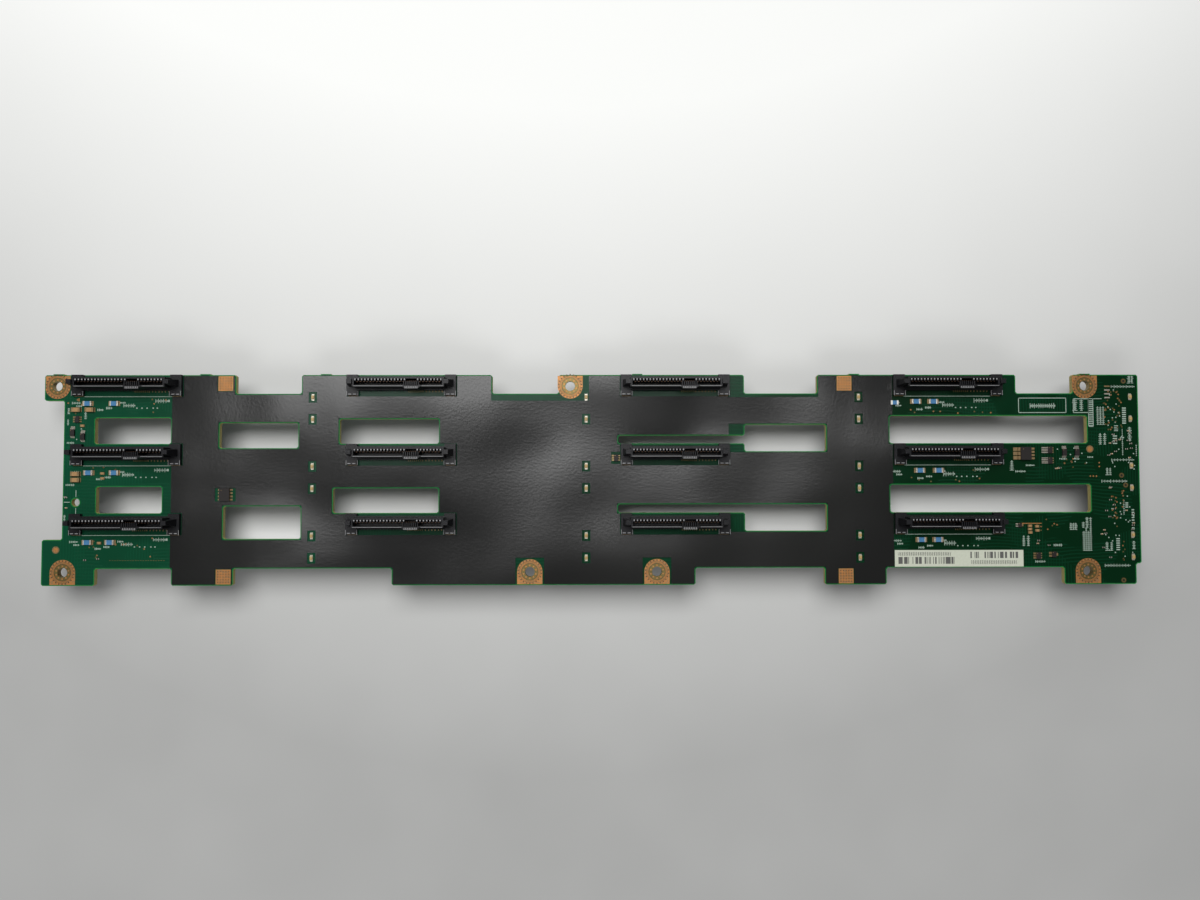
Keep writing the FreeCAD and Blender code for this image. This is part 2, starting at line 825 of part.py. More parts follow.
def bay_windows(columns):
    """Film openings close round the receptacles."""
    length, width = (f"({size} + 2 * film_cut_margin)" for size in (BASE_LENGTH, "base_width"))
    return [
        centred(column(across), row(down), length, width)
        for across, down in BAYS if across < columns
    ]


def light_windows(columns):
    """Film openings round the status lights, but for one that its upper strip passes."""
    under_strip = 2 * (columns - 2)
    return [
        centred(x, y, "light_cut_width", "light_cut_length")
        for index, (x, y) in enumerate(light_spots(columns)) if index != under_strip
    ]


def land_windows():
    """Film openings that leave the lands bare."""
    side = "(square_land + 2 * film_cut_margin)"
    windows = [centred(x, y, side, side) for x, y in SQUARE_LANDS]
    for x in BOTTOM_PAIR:
        windows.append(rectangle(
            f"({x} - film_land_width / 2)", f"({x} + film_land_width / 2)",
            f"({BOTTOM} - film_inset)", from_bottom("film_land_length"),
        ))
    return windows


def insulator_film():
    body = doc.addObject("PartDesign::Body", "insulator_film")
    through = ("film_thickness", "2 * film_thickness")
    place(body, z=FRONT)
    pad(body, "film_sheet", [film_outline()], "film_thickness")
    vents = [grown(edges, "film_inset") for index, edges in PLAIN_VENTS.items() if index > 2]
    vents += [vent_7("film_inset", "film_side_gap"), vent_8("film_inset", "film_side_gap")]
    pocket(body, "vent_windows", vents, *through)
    covered = COLUMNS - 1
    pocket(body, "bay_windows", bay_windows(covered), *through)
    pocket(body, "light_windows", light_windows(covered), *through)
    pocket(body, "chip_windows", [
        centred(*DRIVER_CHIPS[1], "driver_cut_length", "driver_cut_width"),
        centred(*SENSOR_CHIPS[7], "sensor_cut_length", "sensor_cut_width"),
    ], *through)
    pocket(body, "land_windows", land_windows(), *through)
    return body


keep(insulator_film(), "insulator_film")


# Drive receptacle: a moulded housing with two flanges that are soldered down, a tall
# shroud with a slot for the drive's tongue, a raised block with a finer recess between
# the power and the signal contacts, and a guide post at each end that leans inwards.
# X = 0 is its middle, Y = 0 the middle of its flanges and Z = 0 the board.

FLANGE_IN = f"({HALF_BASE} - flange_length)"
BODY_LOW = "(body_offset - body_depth / 2)"
BODY_HIGH = "(body_offset + body_depth / 2)"
SHROUD_LOW = "(shroud_offset - shroud_depth / 2)"
SHROUD_HIGH = "(shroud_offset + shroud_depth / 2)"
TONGUE_LOW = f"({SHROUD_LOW} + lower_wall)"
TONGUE_HIGH = f"({TONGUE_LOW} + tongue_gap)"
SLOT_BACK = f"({TONGUE_HIGH} + contact_slot_depth)"
BLOCK_TOP = f"({SLOT_BACK} - bridge_gap)"
RECESS_BACK = f"({BLOCK_TOP} - fine_recess_depth)"
FIRST_CONTACT = "(-contact_span / 2)"
FIRST_SIGNAL = "(contact_span / 2 - (signal_contacts - 1) * contact_pitch)"
BLOCK_LEFT = f"({FIRST_CONTACT} + (power_contacts - 1) * contact_pitch + segment_margin)"
BLOCK_RIGHT = f"({FIRST_SIGNAL} - segment_margin)"
BLOCK_MIDDLE = f"(({BLOCK_LEFT} + {BLOCK_RIGHT}) / 2)"
FIRST_FINE = f"({BLOCK_MIDDLE} - (signal_contacts - 1) / 2 * fine_pitch)"
RECESS_LEFT = f"({FIRST_FINE} - fine_recess_margin)"
RECESS_RIGHT = f"(2 * {BLOCK_MIDDLE} - {RECESS_LEFT})"


def mirrored(corners):
    """The corners of a left half, then those of its right half."""
    return corners + [(f"(-{x})", y) for x, y in reversed(corners)]


def guide_post(body, name, side):
    """A post that narrows upwards, rooted in an end of the shroud."""
    post = body.newObject("PartDesign::AdditiveWedge", name)
    post.AttachmentSupport = [(origin_item(body, "XY_Plane"), "")]
    post.MapMode = "FlatFace"
    foot = f"({SHROUD_END} - post_root)"
    outer, tip = f"({foot} + post_length)", f"({foot} + post_tip_length)"
    foot, outer, tip = (f"({side}{text})" for text in (foot, outer, tip))
    low, high = ("min", "max") if side == "" else ("max", "min")
    post.AttachmentOffset = FreeCAD.Placement(
        FreeCAD.Vector(), FreeCAD.Rotation(FreeCAD.Vector(1, 0, 0), 90)
    )
    bind(post, f"X{low}", foot)
    bind(post, f"X2{low}", foot)
    bind(post, f"X{high}", outer)
    bind(post, f"X2{high}", tip)
    bind(post, "Ymin", "flange_height")
    bind(post, "Ymax", "post_height")
    for path, depth, sign in (
        ("Zmin", "post_depth", "-"), ("Zmax", "post_depth", ""),
        ("Z2min", "post_tip_depth", "-"), ("Z2max", "post_tip_depth", ""),
    ):
        bind(post, path, f"-shroud_offset + ({sign}{depth} / 2)")
    return post


def drive_connector():
    body = doc.addObject("PartDesign::Body", "drive_connector")
    base = mirrored([
        (f"(-{FLANGE_IN})", BODY_HIGH), (f"(-{FLANGE_IN})", "(base_width / 2)"),
        (f"(-{HALF_BASE})", "(base_width / 2)"), (f"(-{HALF_BASE})", "(-base_width / 2)"),
        (f"(-{FLANGE_IN})", "(-base_width / 2)"), (f"(-{FLANGE_IN})", BODY_LOW),
    ])
    pad(body, "base", [base], "flange_height")
    shroud = [
        (f"(-{SHROUD_END})", SHROUD_LOW),
        (f"({BLOCK_MIDDLE} - bump_inner_length / 2)", SHROUD_LOW),
        (f"({BLOCK_MIDDLE} - bump_outer_length / 2)", f"({SHROUD_LOW} - bump_reach)"),
        (f"({BLOCK_MIDDLE} + bump_outer_length / 2)", f"({SHROUD_LOW} - bump_reach)"),
        (f"({BLOCK_MIDDLE} + bump_inner_length / 2)", SHROUD_LOW),
        (SHROUD_END, SHROUD_LOW),
        (SHROUD_END, SHROUD_HIGH),
        (f"(-{SHROUD_END})", SHROUD_HIGH),
    ]
    pad(body, "shroud", [shroud], "shroud_height")
    guide_post(body, "left_post", "-")
    guide_post(body, "right_post", "")
    tongue_slot = [
        (f"(-{TONGUE_END})", TONGUE_LOW), (BLOCK_LEFT, TONGUE_LOW), (BLOCK_LEFT, BLOCK_TOP),
        (RECESS_LEFT, BLOCK_TOP), (RECESS_LEFT, RECESS_BACK), (RECESS_RIGHT, RECESS_BACK),
        (RECESS_RIGHT, BLOCK_TOP), (BLOCK_RIGHT, BLOCK_TOP), (BLOCK_RIGHT, TONGUE_LOW),
        (TONGUE_END, TONGUE_LOW), (TONGUE_END, SLOT_BACK),
        (f"(-{TONGUE_END})", SLOT_BACK),
    ]
    depth = "shroud_height - cavity_floor"
    pocket(body, "tongue_slot", [tongue_slot], "shroud_height", depth)
    return body


def leaves(body, name, foot, tip, thickness, first, width, pitch, count):
    """A row of flat spring leaves, each leaning from its foot to its tip."""
    sketch = new_sketch(body, f"{name}_profile", f"{first} - {width} / 2", "YZ_Plane")
    add_loop(sketch, [
        (foot, "cavity_floor"), (f"({foot} + {thickness})", "cavity_floor"),
        (f"({tip} + {thickness})", "contact_top"), (tip, "contact_top"),
    ])
    leaf = body.newObject("PartDesign::Pad", name)
    leaf.Profile = (sketch, [""])
    bind(leaf, "Length", width)
    repeat_along_x(body, f"{name}_row", leaf, count, pitch)


def drive_contacts():
    body = doc.addObject("PartDesign::Body", "drive_contacts")
    body.AllowCompound = True
    coarse = (
        f"({SLOT_BACK} - contact_thickness)", f"({TONGUE_HIGH} - contact_crown)", "contact_thickness",
    )
    fine = (
        RECESS_BACK, f"({BLOCK_TOP} + contact_crown - contact_thickness)", "contact_thickness",
    )
    pitch = "contact_pitch"
    leaves(body, "power_leaf", *coarse, FIRST_CONTACT, "contact_width", pitch, "power_contacts")
    leaves(body, "signal_leaf", *coarse, FIRST_SIGNAL, "contact_width", pitch, "signal_contacts")
    leaves(body, "fine_leaf", *fine, FIRST_FINE, "fine_contact_width", "fine_pitch", "signal_contacts")
    return body


def one_in_each_bay(original, name):
    for index, (across, down) in enumerate(BAYS):
        piece = original if index == 0 else copy_of(original, f"{name}_in_bay_{index}")
        place(piece, column(across), row(down), FRONT)
        keep(piece, f"{name}_{index}")


one_in_each_bay(drive_connector(), "drive_connector")
one_in_each_bay(drive_contacts(), "drive_contacts")


# Rear cable port: a metal shell, open at the mouth, round a moulded core whose tongue
# carries the contacts in a slot. X = 0 and Y = 0 are its middle, and Z = 0 its mouth.

def port_shell():
    inner_width, inner_length = "(port_width - 2 * port_wall)", "(port_length - 2 * port_wall)"
    outside = middle_block("shell_outside", "port_width", "port_length", "0", "port_height")
    inside = middle_block(
        "shell_inside", inner_width, inner_length, "(-port_wall)", "(port_height + port_wall)",
    )
    windows = [
        middle_block(
            f"latch_window_{name}", "(2 * port_wall)", "port_window_length", "port_window_level",
            "(port_window_level + port_window_height)", "(port_width / 2)",
            f"({sign}port_window_spread / 2)",
        )
        for name, sign in (("low", "-"), ("high", ""))
    ]
    return cut("port_shell", outside, inside, *windows)


def port_core():
    gap = "2 * (port_wall + port_fit)"
    foot = middle_block(
        "core_foot", f"(port_width - {gap})", f"(port_length - {gap})",
        "(port_height - port_foot_height)", "port_height",
    )
    mouth = "(port_height - port_tongue_height)"
    tongue = middle_block(
        "core_tongue", "port_tongue_width", "port_tongue_length", mouth, "port_height",
    )
    core = doc.addObject("Part::Fuse", "core_blank")
    core.Base = foot
    core.Tool = tongue
    slot = middle_block(
        "core_slot", "port_slot_width", "port_slot_length", f"({mouth} - port_wall)",
        f"({mouth} + port_slot_depth)",
    )
    return cut("port_core", core, slot)


def off_middle_row(rise):
    return f"({row(1)} + {rise})"


def midway(first, second):
    return f"(({first} + {second}) / 2)"


PORTS = [
    (midway(PLAIN_VENTS[1][1], PLAIN_VENTS[3][0]), off_middle_row("low_port_rise")),
    (midway(PLAIN_VENTS[5][1], f"({column(2)} + vent_7_slot_left)"), off_middle_row("high_port_rise")),
    (midway(f"({column(2)} + vent_7_right)", PLAIN_VENTS[9][0]), off_middle_row("low_port_rise")),
]
MIDDLE = PORTS[1][0]


def one_at_each(original, name, spots, z="0"):
    for index, (x, y) in enumerate(spots):
        piece = original if index == 0 else copy_of(original, f"{name}_at_{index}")
        place(piece, x, y, z)
        keep(piece, f"{name}_{index}")


one_at_each(port_shell(), "port_shell", PORTS)
one_at_each(port_core(), "port_core", PORTS)


# Rear power header: a moulded block with a cell for each pin, open downwards, and a
# latch on its outer side. X = 0 and Y = 0 are its middle, and Z = 0 the board's rear.

def in_grid(columns, rows, pitch):
    """Middles of a grid of places, as many as the sheet says."""
    return [
        (
            f"(({across} - ({columns} - 1) / 2) * {pitch})",
            f"(({up} - ({rows} - 1) / 2) * {pitch})",
        )
        for across in range(int(number(columns)))
        for up in range(int(number(rows)))
    ]


def pins(name, spots, width, floor, length):
    """Square pins that stand down from the floor of a header."""
    return group_of(name, [
        middle_block(f"{name}_pin_{index}", width, width, f"({floor} - {length})", floor, x, y)
        for index, (x, y) in enumerate(spots, 1)
    ])


POWER_CELLS = in_grid("power_columns", "power_rows", "power_pitch")
POWER_FLOOR = "(power_cell_depth - power_height)"
POWER_HEADERS = [
    (f"({MIDDLE} {side} power_spread / 2)", off_middle_row("power_rise")) for side in "-+"
]


def power_header():
    cell = "(power_pitch - power_wall)"
    width = "(power_rows * power_pitch + power_wall)"
    blank = middle_block(
        "header_blank", "(power_columns * power_pitch + power_wall)", width,
        "(-power_height)", "0",
    )
    latch_low = "(power_latch_level - power_height)"
    latch = block(
        "header_latch", "(-power_latch_width / 2)", "(power_latch_width / 2)",
        f"(-{width} / 2 - power_latch_reach)", f"(-{width} / 2)",
        latch_low, f"({latch_low} + power_latch_height)",
    )
    body = doc.addObject("Part::Fuse", "header_with_latch")
    body.Base = blank
    body.Tool = latch
    cells = [
        middle_block(
            f"power_cell_{index}", cell, cell, "(-power_height - power_wall)", POWER_FLOOR, x, y,
        )
        for index, (x, y) in enumerate(POWER_CELLS, 1)
    ]
    return cut("power_header", body, *cells)


power_pins = pins("power_pins", POWER_CELLS, "power_pin_width", POWER_FLOOR, "power_pin_length")
one_at_each(power_header(), "power_header", POWER_HEADERS, UNDERSIDE)
one_at_each(power_pins, "power_pins", POWER_HEADERS, UNDERSIDE)


# Rear management header: a box header with a key slot in one long wall.

HEADER_FLOOR = "(header_cavity_depth - header_height)"
HEADER_PLACE = (f"({MIDDLE} + header_offset)", off_middle_row("header_rise"), UNDERSIDE)


def management_header():
    mouth = "(-header_height - header_wall)"
    blank = middle_block("box_blank", "header_width", "header_length", "(-header_height)", "0")
    cavity = middle_block(
        "box_cavity", "(header_width - 2 * header_wall)", "(header_length - 2 * header_wall)",
        mouth, HEADER_FLOOR,
    )
    key = block(
        "box_key", "0", "header_width", "(-header_key / 2)", "(header_key / 2)", mouth, HEADER_FLOOR,
    )
    return cut("management_header", blank, cavity, key)


management_pins = pins(
    "management_pins", in_grid("header_columns", "header_rows", "header_pitch"),
    "header_pin_width", HEADER_FLOOR, "header_pin_length",
)
for piece, name in ((management_header(), "management_header"), (management_pins, "management_pins")):
    place(piece, *HEADER_PLACE)
    keep(piece, name)


# Rear controller chip.

keep(
    middle_block(
        "controller_chip", "controller_side", "controller_side",
        f"({UNDERSIDE} - controller_height)", UNDERSIDE,
        f"({MIDDLE} - controller_offset)", off_middle_row("controller_rise"),
    ),
    "controller_chip",
)


# Check every object and every piece, then write one file for each piece.

doc.recompute()
for item in doc.Objects:
    if {"Invalid", "Error"} & set(item.State):
        raise RuntimeError(f"{item.Name} failed: {item.State}")
for piece in sub_parts:
    if piece.Shape.isNull() or not piece.Shape.isValid():
        raise RuntimeError(f"{piece.Label} has no valid shape")
for piece in sub_parts:
    piece.Shape.exportStep(f"parts/{piece.Label}.step")
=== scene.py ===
import math
import random

import bpy
from mathutils import Matrix, Vector


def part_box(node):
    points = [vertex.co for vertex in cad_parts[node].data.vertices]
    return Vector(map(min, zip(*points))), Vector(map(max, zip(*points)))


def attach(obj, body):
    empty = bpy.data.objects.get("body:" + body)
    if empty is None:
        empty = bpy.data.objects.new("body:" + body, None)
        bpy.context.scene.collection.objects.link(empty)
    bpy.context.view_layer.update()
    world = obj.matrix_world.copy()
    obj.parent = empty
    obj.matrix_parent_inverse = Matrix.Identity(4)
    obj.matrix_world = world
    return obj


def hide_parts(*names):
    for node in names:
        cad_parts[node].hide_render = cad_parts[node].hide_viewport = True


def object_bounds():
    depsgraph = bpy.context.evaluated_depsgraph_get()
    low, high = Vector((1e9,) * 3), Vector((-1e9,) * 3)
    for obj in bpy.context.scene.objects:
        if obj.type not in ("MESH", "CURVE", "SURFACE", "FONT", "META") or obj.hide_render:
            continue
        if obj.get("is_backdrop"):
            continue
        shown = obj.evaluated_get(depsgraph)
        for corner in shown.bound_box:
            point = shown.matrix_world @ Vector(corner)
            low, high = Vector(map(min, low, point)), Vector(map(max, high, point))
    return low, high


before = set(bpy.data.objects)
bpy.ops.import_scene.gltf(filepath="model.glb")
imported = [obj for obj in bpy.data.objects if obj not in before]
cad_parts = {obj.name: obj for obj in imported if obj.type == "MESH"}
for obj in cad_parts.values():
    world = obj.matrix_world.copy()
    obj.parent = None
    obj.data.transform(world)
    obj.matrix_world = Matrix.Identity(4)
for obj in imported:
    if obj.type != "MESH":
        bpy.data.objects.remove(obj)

cad_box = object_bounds()
MM = 0.001


# Circuit board. A sheet of glass-fibre laminate, milled to its outline and vents, coated
# with dark green solder mask that stops short of each cut edge, where the bare green
# laminate shows as a brighter rim. Its cut walls are yellow-brown and its screw holes plated.

class Wire:
    """A socket in a material. Arithmetic on it adds the nodes it needs."""

    def __init__(self, tree, socket):
        self.tree = tree
        self.socket = socket

    def node(self, kind, settings=None, values=None, output=0):
        """Add a node, set it up, feed its sockets, and give one of its outputs."""
        made = self.tree.nodes.new(kind)
        for name, setting in (settings or {}).items():
            setattr(made, name, setting)
        for name, value in (values or {}).items():
            if isinstance(value, Wire):
                self.tree.links.new(value.socket, made.inputs[name])
            else:
                made.inputs[name].default_value = value
        return Wire(self.tree, made.outputs[output])

    def math(self, operation, *values, clamp=False):
        """Add a Math node that works on these wires and numbers."""
        settings = {"operation": operation, "use_clamp": clamp}
        return self.node("ShaderNodeMath", settings, dict(enumerate(values)))

    def __add__(self, other):
        return self.math("ADD", self, other)

    def __sub__(self, other):
        return self.math("SUBTRACT", self, other)

    def __rsub__(self, other):
        return self.math("SUBTRACT", other, self)

    def __mul__(self, other):
        return self.math("MULTIPLY", self, other)

    def __mod__(self, other):
        return self.math("FLOORED_MODULO", self, other)

    def __gt__(self, other):
        return self.math("GREATER_THAN", self, other)

    def __lt__(self, other):
        return self.math("LESS_THAN", self, other)

    __radd__ = __add__
    __rmul__ = __mul__


class Finish(Wire):
    """A surface material. Its place is in millimetres, in the frame of the part."""

    def __init__(self, name, colour, roughness, **constants):
        self.material = bpy.data.materials.new(name)
        self.material.use_nodes = True
        tree = self.material.node_tree
        self.shader = tree.nodes["Principled BSDF"]
        super().__init__(tree, self.shader.outputs[0])
        constants.update(Base_Color=(*colour, 1), Roughness=roughness)
        for socket, value in constants.items():
            self.shader.inputs[socket.replace("_", " ")].default_value = value
        where = self.node("ShaderNodeTexCoord", output=3)
        scale = {"Vector": where, "Scale": 1 / MM}
        self.place = self.node("ShaderNodeVectorMath", {"operation": "SCALE"}, scale)

    def noise(self, size, detail=2.0):
        """Soft mottling whose lumps are about this many millimetres across."""
        values = {"Vector": self.place, "Scale": 1 / size, "Detail": detail}
        return self.node("ShaderNodeTexNoise", None, values)

    def along(self, axis):
        """Distance along one axis of the part."""
        return self.node("ShaderNodeSeparateXYZ", None, {"Vector": self.place}, axis)

    def mix(self, share, first, second):
        """One colour passing into another, each a triple or a wire."""
        first, second = (c if isinstance(c, Wire) else (*c, 1) for c in (first, second))
        values = {0: share, 6: first, 7: second}
        return self.node("ShaderNodeMix", {"data_type": "RGBA"}, values, 2)

    def feed(self, socket, wire):
        """Let a wire drive a socket of the shader."""
        self.tree.links.new(wire.socket, self.shader.inputs[socket])
        return self

    def bump(self, height, depth):
        """Relief of a depth in millimetres."""
        values = {"Height": height, "Distance": depth * MM}
        return self.feed("Normal", self.node("ShaderNodeBump", None, values))


def solder_mask():
    """Dark green mask, clouded, and ridged where it runs over the tracks beneath it. Its colour is also
    painted lighter towards the left end and the top, a painted sheen.
    """
    deep, light, trace = (0.0004, 0.013, 0.0036), (0.0026, 0.046, 0.021), (0.006, 0.085, 0.04)
    mask = Finish("solder_mask", light, 0.25, Specular_IOR_Level=0.09)
    cloud = mask.noise(26)
    across, up = mask.along(0), mask.along(1)
    lanes = ((up + cloud * 5) % 1.3 < 0.42) * (mask.noise(17, 0) > 0.52)
    rungs = ((across + cloud * 3) % 1.1 < 0.36) * (mask.noise(13, 0) > 0.56)
    lines = lanes.math("MAXIMUM", lanes, rungs)
    # Painted sheen: the base colour grows lighter towards the left end and slightly towards the top,
    # where the lamp is mirrored.
    ground_and_sheen = mask.mix(across * -0.0022 + up * 0.002 + cloud * 0.7, deep, light)
    mask.feed("Base Color", mask.mix(lines * 0.13, ground_and_sheen, trace))
    mask.feed("Roughness", mask.noise(4) * 0.12 + 0.18)
    return mask.bump(lines + mask.noise(0.5) * 0.3, 0.006)


def bare_rim():
    """Laminate that shows through along the edges, where no copper lies under it."""
    rim = Finish("bare_rim", (0.004, 0.17, 0.05), 0.5, Specular_IOR_Level=0.1)
    rim.feed("Base Color", rim.mix(rim.noise(3), (0.0015, 0.075, 0.014), (0.005, 0.15, 0.03)))
    return rim.bump(rim.noise(0.4), 0.01)


def cut_laminate():
    """The milled walls, with the plies of glass cloth as faint bands."""
    wall = Finish("cut_laminate", (0.3, 0.25, 0.09), 0.8)
    plies = (wall.along(2) % 0.3) < 0.12
    shade = wall.noise(1.2) * 0.6 + plies * 0.3
    wall.feed("Base Color", wall.mix(shade, (0.36, 0.31, 0.11), (0.17, 0.15, 0.05)))
    return wall.bump(wall.noise(0.25), 0.03)


def hole_plating():
    plated = Finish("hole_plating", (0.3, 0.22, 0.08), 0.4, Metallic=0.8)
    plated.feed("Base Color", plated.mix(plated.noise(1), (0.34, 0.25, 0.1), (0.16, 0.12, 0.05)))
    return plated.bump(plated.noise(0.3), 0.02)


def own_copy(node, name):
    """A welded copy of a construction node, whose flat sides are whole faces again."""
    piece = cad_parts[node].copy()
    piece.data = piece.data.copy()
    piece.name = name
    piece.data.name = name
    bpy.context.collection.objects.link(piece)
    bpy.ops.object.select_all(action="DESELECT")
    piece.select_set(True)
    bpy.context.view_layer.objects.active = piece
    bpy.ops.object.mode_set(mode="EDIT")
    bpy.ops.mesh.select_all(action="SELECT")
    bpy.ops.mesh.remove_doubles(threshold=1e-6)
    bpy.ops.mesh.dissolve_limited(angle_limit=math.radians(1))
    bpy.ops.object.mode_set(mode="OBJECT")
    return piece


def pick_faces(piece, wanted):
    """Leave edit mode with only the wanted faces selected, judged by middle and normal."""
    bpy.ops.object.mode_set(mode="EDIT")
    bpy.ops.mesh.select_mode(type="FACE")
    bpy.ops.mesh.select_all(action="DESELECT")
    bpy.ops.object.mode_set(mode="OBJECT")
    for face in piece.data.polygons:
        face.select = wanted(face.center, face.normal)


def dress(piece, *finishes):
    """Give a piece its finishes, in the order that its faces count them."""
    piece.data.materials.clear()
    for finish in finishes:
        piece.data.materials.append(finish.material)


def mount(piece, slot, *nodes):
    """Fix a finished piece to the product, in place of the nodes it stands for."""
    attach(piece, "root")
    if nodes:
        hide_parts(*nodes)


BOARD_LOW, BOARD_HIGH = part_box("circuit_board")
FRONT, REAR = BOARD_HIGH[2], BOARD_LOW[2]
RIM = 0.35 * MM
HOLE = 1.9 * MM
MASK, EDGE, WALL, PLATED = range(4)
SCREW_HOLES = [
    (-210.5, 36.85), (-9.1, 36.85), (194.4, 36.85),
    (-207.2, -36.1), (-24.9, -36.1), (24.9, -36.1), (194.4, -36.1),
]

board = own_copy("circuit_board", "milled_board")
dress(board, solder_mask(), bare_rim(), cut_laminate(), hole_plating())
for side in (1, -1):
    pick_faces(board, lambda middle, normal: normal.z * side > 0.9)
    bpy.ops.object.mode_set(mode="EDIT")
    bpy.ops.mesh.inset(thickness=RIM, depth=0)
    bpy.ops.object.mode_set(mode="OBJECT")
    for face in board.data.polygons:
        if face.normal.z * side > 0.9:
            face.material_index = MASK if face.select else EDGE
for face in board.data.polygons:
    if abs(face.normal.z) < 0.5:
        middle = face.center / MM
        near = min(math.dist(middle[:2], hole) for hole in SCREW_HOLES)
        face.material_index = PLATED if near * MM < HOLE + 0.3 * MM else WALL
mount(board, "board_green", "circuit_board")


# Insulating film. Black polycarbonate sheet, die-cut and stuck down over the middle of
# the board. It is slightly wavy, so its sheen drifts.

def film_sheet():
    """Near black, a little faded in places, with long swells, short ripples and a grain."""
    film = Finish("film_sheet", (0.004, 0.004, 0.0045), 0.18, Specular_IOR_Level=0.37)
    black, faded = (0.0032, 0.0032, 0.0034), (0.0072, 0.0074, 0.0064)
    film.feed("Base Color", film.mix(film.noise(60), black, faded))
    film.feed("Roughness", film.noise(45) * 0.08 + 0.16)
    swell, ripple, grain = film.noise(70, 0), film.noise(26, 0), film.noise(0.9)
    return film.bump(swell * 4.4 + ripple + grain * 0.022, 1)


def wear(node, finish):
    """Give a construction node its finish."""
    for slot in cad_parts[node].material_slots:
        slot.material = finish.material


wear("insulator_film", film_sheet())


# Screw lands. Bare copper arches under the screws, etched in the board's outer copper, each
# with a gold-washed ring round its hole, thin rings, and two circles of dots. Four square
# lands, bared by windows in the film, are stippled with dark dots.

def bare_copper():
    """Copper that has gone dull in patches, with small dark pits."""
    copper = Finish("bare_copper", (0.5, 0.2, 0.075), 0.45, Metallic=0.5, Specular_IOR_Level=0.2)
    dull, speck = copper.noise(2.4, 4), copper.noise(0.7, 3)
    worn = copper.mix(dull, (0.42, 0.18, 0.055), (0.2, 0.09, 0.028))
    pits = (speck > 0.53) * 0.55
    copper.feed("Base Color", copper.mix(pits, worn, (0.15, 0.12, 0.07)))
    copper.feed("Roughness", dull * 0.3 + 0.32)
    return copper.bump(copper.noise(0.5, 3), 0.04)


def gold_wash():
    gold = Finish("gold_wash", (0.3, 0.19, 0.035), 0.4, Metallic=0.7)
    gold.feed("Base Color", gold.mix(gold.noise(0.9, 3), (0.16, 0.12, 0.035), (0.07, 0.05, 0.015)))
    return gold.bump(gold.noise(0.4), 0.02)


def dark_dot():
    dot = Finish("dark_dot", (0.05, 0.03, 0.01), 0.5, Metallic=0.5)
    return dot.feed("Base Color", dot.mix(dot.noise(0.3), (0.09, 0.05, 0.015), (0.02, 0.012, 0.006)))


def join(name, pieces):
    """Join pieces into one, which keeps the materials of each."""
    bpy.ops.object.select_all(action="DESELECT")
    for piece in pieces:
        piece.select_set(True)
    bpy.context.view_layer.objects.active = pieces[0]
    bpy.ops.object.join()
    joined = bpy.context.object
    joined.name = name
    joined.data.name = name
    return joined


def settle():
    """Put the place, turn and size of what was just added into its mesh."""
    bpy.ops.object.transform_apply(location=True, rotation=True, scale=True)
    return bpy.context.object


bpy.ops.mesh.primitive_cube_add(size=1)
BLOCK = bpy.context.object.data
bpy.data.objects.remove(bpy.context.object)


def cast(mesh, matrix, *finishes):
    """A new piece from a copy of a mesh, placed and sized by a matrix."""
    piece = bpy.data.objects.new(mesh.name, mesh.copy())
    piece.data.transform(matrix)
    bpy.context.collection.objects.link(piece)
    if finishes:
        dress(piece, *finishes)
    return piece


def slab(low, high, *finishes):
    """A block between its lowest and its highest corner."""
    middle = Vector([(a + b) / 2 for a, b in zip(low, high)])
    size = Vector([b - a for a, b in zip(low, high)])
    return cast(BLOCK, Matrix.LocRotScale(middle, None, size), *finishes)


def patch(x0, y0, x1, y1, thick, finish):
    """A thin patch on the board's front, between two corners in millimetres."""
    return slab((x0 * MM, y0 * MM, FRONT), (x1 * MM, y1 * MM, FRONT + thick), finish)


def disc(x, y, radius, low, high, sides):
    """A round plate that stands between two levels."""
    bpy.ops.mesh.primitive_cylinder_add(
        vertices=sides, radius=radius, depth=high - low, location=(x, y, (low + high) / 2)
    )
    return settle()


def ring(x, y, inner, outer, low, high, sides=48):
    """A flat ring: a disc whose middle is bored through."""
    made = disc(x, y, outer, low, high, sides)
    pick_faces(made, lambda middle, normal: abs(normal.z) > 0.9)
    bpy.ops.object.mode_set(mode="EDIT")
    bpy.ops.mesh.inset(thickness=outer - inner, depth=0)
    bpy.ops.mesh.bridge_edge_loops()
    bpy.ops.object.mode_set(mode="OBJECT")
    return made


LAND = 0.05 * MM
LAND_RADIUS = 4.95 * MM
HALO = 3.2
SQUARE_HALF = 2.9
STIPPLE_HALF, STIPPLE_PITCH = 0.24, 1.05
COPPER, GOLD, DOT = bare_copper(), gold_wash(), dark_dot()


def land_arch(x, y, toward_edge):
    """A half round copper arch whose straight sides run out to the board's edge."""
    arch = ring(x, y, HOLE + 0.1 * MM, LAND_RADIUS, FRONT, FRONT + LAND, 64)
    edge = (-BOARD_LOW[1] - RIM) * toward_edge
    for vertex in arch.data.vertices:
        from_middle = Vector((vertex.co.x - x, vertex.co.y - y))
        if from_middle.length > LAND_RADIUS * 0.9 and from_middle.y * toward_edge > 0:
            steep = min(1.0, from_middle.y * toward_edge / abs(from_middle.x or 1e-9))
            vertex.co.x = x + math.copysign(LAND_RADIUS, from_middle.x) * (
                1.0 if steep < 1 else abs(from_middle.x) / (from_middle.y * toward_edge)
            )
            vertex.co.y = y + (edge - y) * steep
        vertex.co.x = max(vertex.co.x, BOARD_LOW[0] + 0.3 * MM)
    return arch


